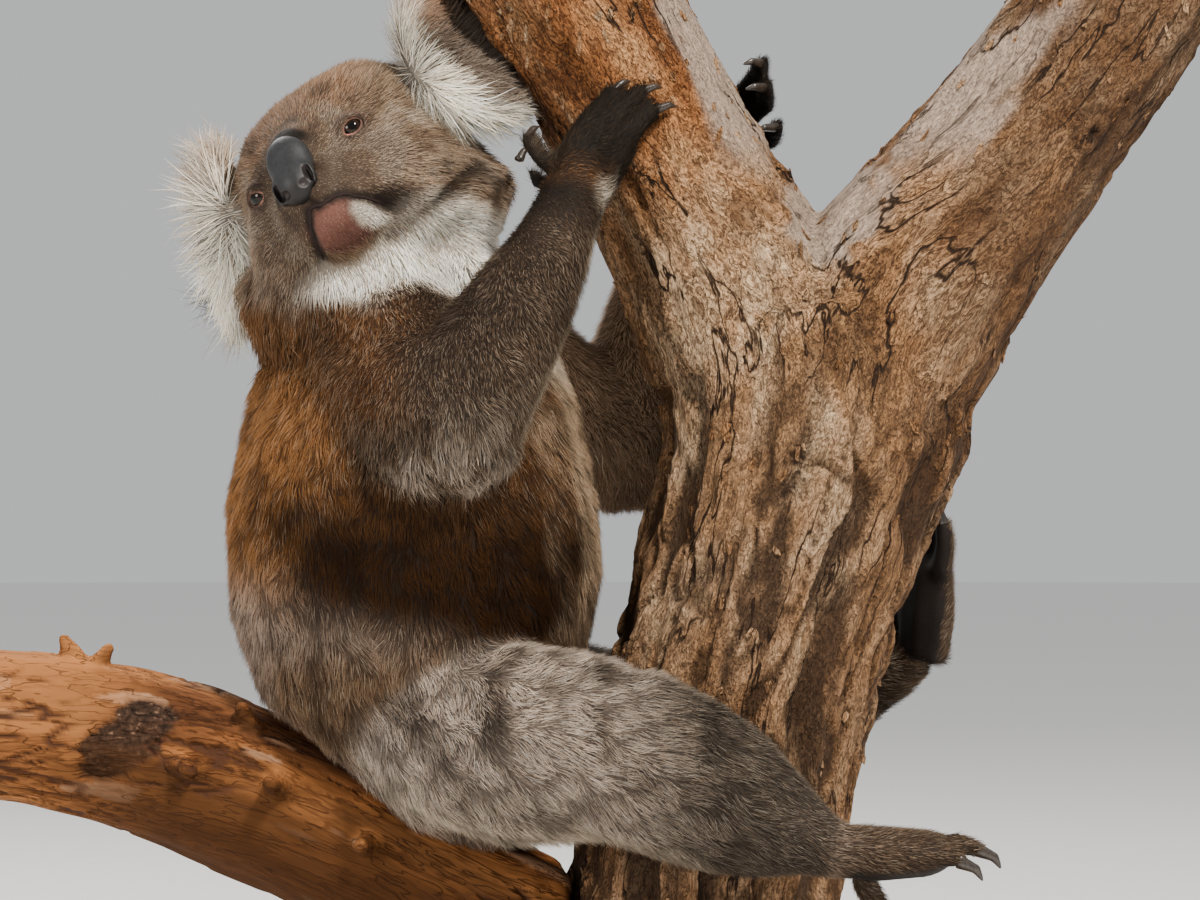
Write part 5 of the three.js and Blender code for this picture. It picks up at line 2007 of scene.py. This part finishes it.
class KOALA_OT_stage(bpy.types.Operator):
    """Add the floor, the lights and the camera"""

    bl_idname = "koala.stage"
    bl_label = "Stage"

    def execute(self, context):
        make_stage(context.scene.koala_settings)
        return {"FINISHED"}


class KOALA_OT_skin(bpy.types.Operator):
    """Make the one skin under the coat"""

    bl_idname = "koala.skin"
    bl_label = "Skin"

    def execute(self, context):
        make_skin(context.scene.koala_settings)
        return {"FINISHED"}


class KOALA_OT_coat(bpy.types.Operator):
    """Grow the tufts of the coat"""

    bl_idname = "koala.coat"
    bl_label = "Coat"

    def execute(self, context):
        make_coat(context.scene.koala_settings)
        return {"FINISHED"}


class KOALA_OT_eyes(bpy.types.Operator):
    """Make the eyeballs and their lids"""

    bl_idname = "koala.eyes"
    bl_label = "Eyes"

    def execute(self, context):
        make_eyes(context.scene.koala_settings)
        return {"FINISHED"}


class KOALA_OT_nose(bpy.types.Operator):
    """Make the nose pad"""

    bl_idname = "koala.nose"
    bl_label = "Nose"

    def execute(self, context):
        make_nose(context.scene.koala_settings)
        return {"FINISHED"}


class KOALA_OT_mouth(bpy.types.Operator):
    """Make the dark edge of the lips"""

    bl_idname = "koala.mouth"
    bl_label = "Mouth"

    def execute(self, context):
        make_mouth(context.scene.koala_settings)
        return {"FINISHED"}


class KOALA_OT_claws(bpy.types.Operator):
    """Make the claws"""

    bl_idname = "koala.claws"
    bl_label = "Claws"

    def execute(self, context):
        make_claws(context.scene.koala_settings)
        return {"FINISHED"}


class KOALA_OT_trunk(bpy.types.Operator):
    """Make the forked trunk and its bark"""

    bl_idname = "koala.trunk"
    bl_label = "Trunk"

    def execute(self, context):
        make_trunk(context.scene.koala_settings)
        return {"FINISHED"}


class KOALA_OT_branch(bpy.types.Operator):
    """Make the side branch"""

    bl_idname = "koala.branch"
    bl_label = "Branch"

    def execute(self, context):
        make_branch(context.scene.koala_settings)
        return {"FINISHED"}


class KOALA_OT_stand(bpy.types.Operator):
    """Finish the display stand"""

    bl_idname = "koala.stand"
    bl_label = "Stand"

    def execute(self, context):
        make_stand(context.scene.koala_settings)
        return {"FINISHED"}


STEPS = [
    KOALA_OT_stage, KOALA_OT_skin, KOALA_OT_coat, KOALA_OT_eyes, KOALA_OT_nose, KOALA_OT_mouth,
    KOALA_OT_claws, KOALA_OT_trunk, KOALA_OT_branch, KOALA_OT_stand,
]


class KOALA_PT_panel(bpy.types.Panel):
    """The steps and settings of the koala model."""

    bl_label = "Koala"
    bl_space_type = "VIEW_3D"
    bl_region_type = "UI"
    bl_category = "Koala"

    def draw(self, context):
        for name in ("thickness", "length", "tint", "bark_depth", "flakes"):
            self.layout.prop(context.scene.koala_settings, name)
        for step in STEPS:
            self.layout.operator(step.bl_idname)


CLASSES = [KoalaSettings, *STEPS, KOALA_PT_panel]


def register():
    for cls in CLASSES:
        bpy.utils.register_class(cls)
    bpy.types.Scene.koala_settings = bpy.props.PointerProperty(type=KoalaSettings)


def unregister():
    del bpy.types.Scene.koala_settings
    for cls in reversed(CLASSES):
        bpy.utils.unregister_class(cls)


def main():
    register()
    for step in STEPS:
        group, name = step.bl_idname.split(".")
        getattr(getattr(bpy.ops, group), name)()
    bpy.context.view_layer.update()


if __name__ == "__main__":
    main()
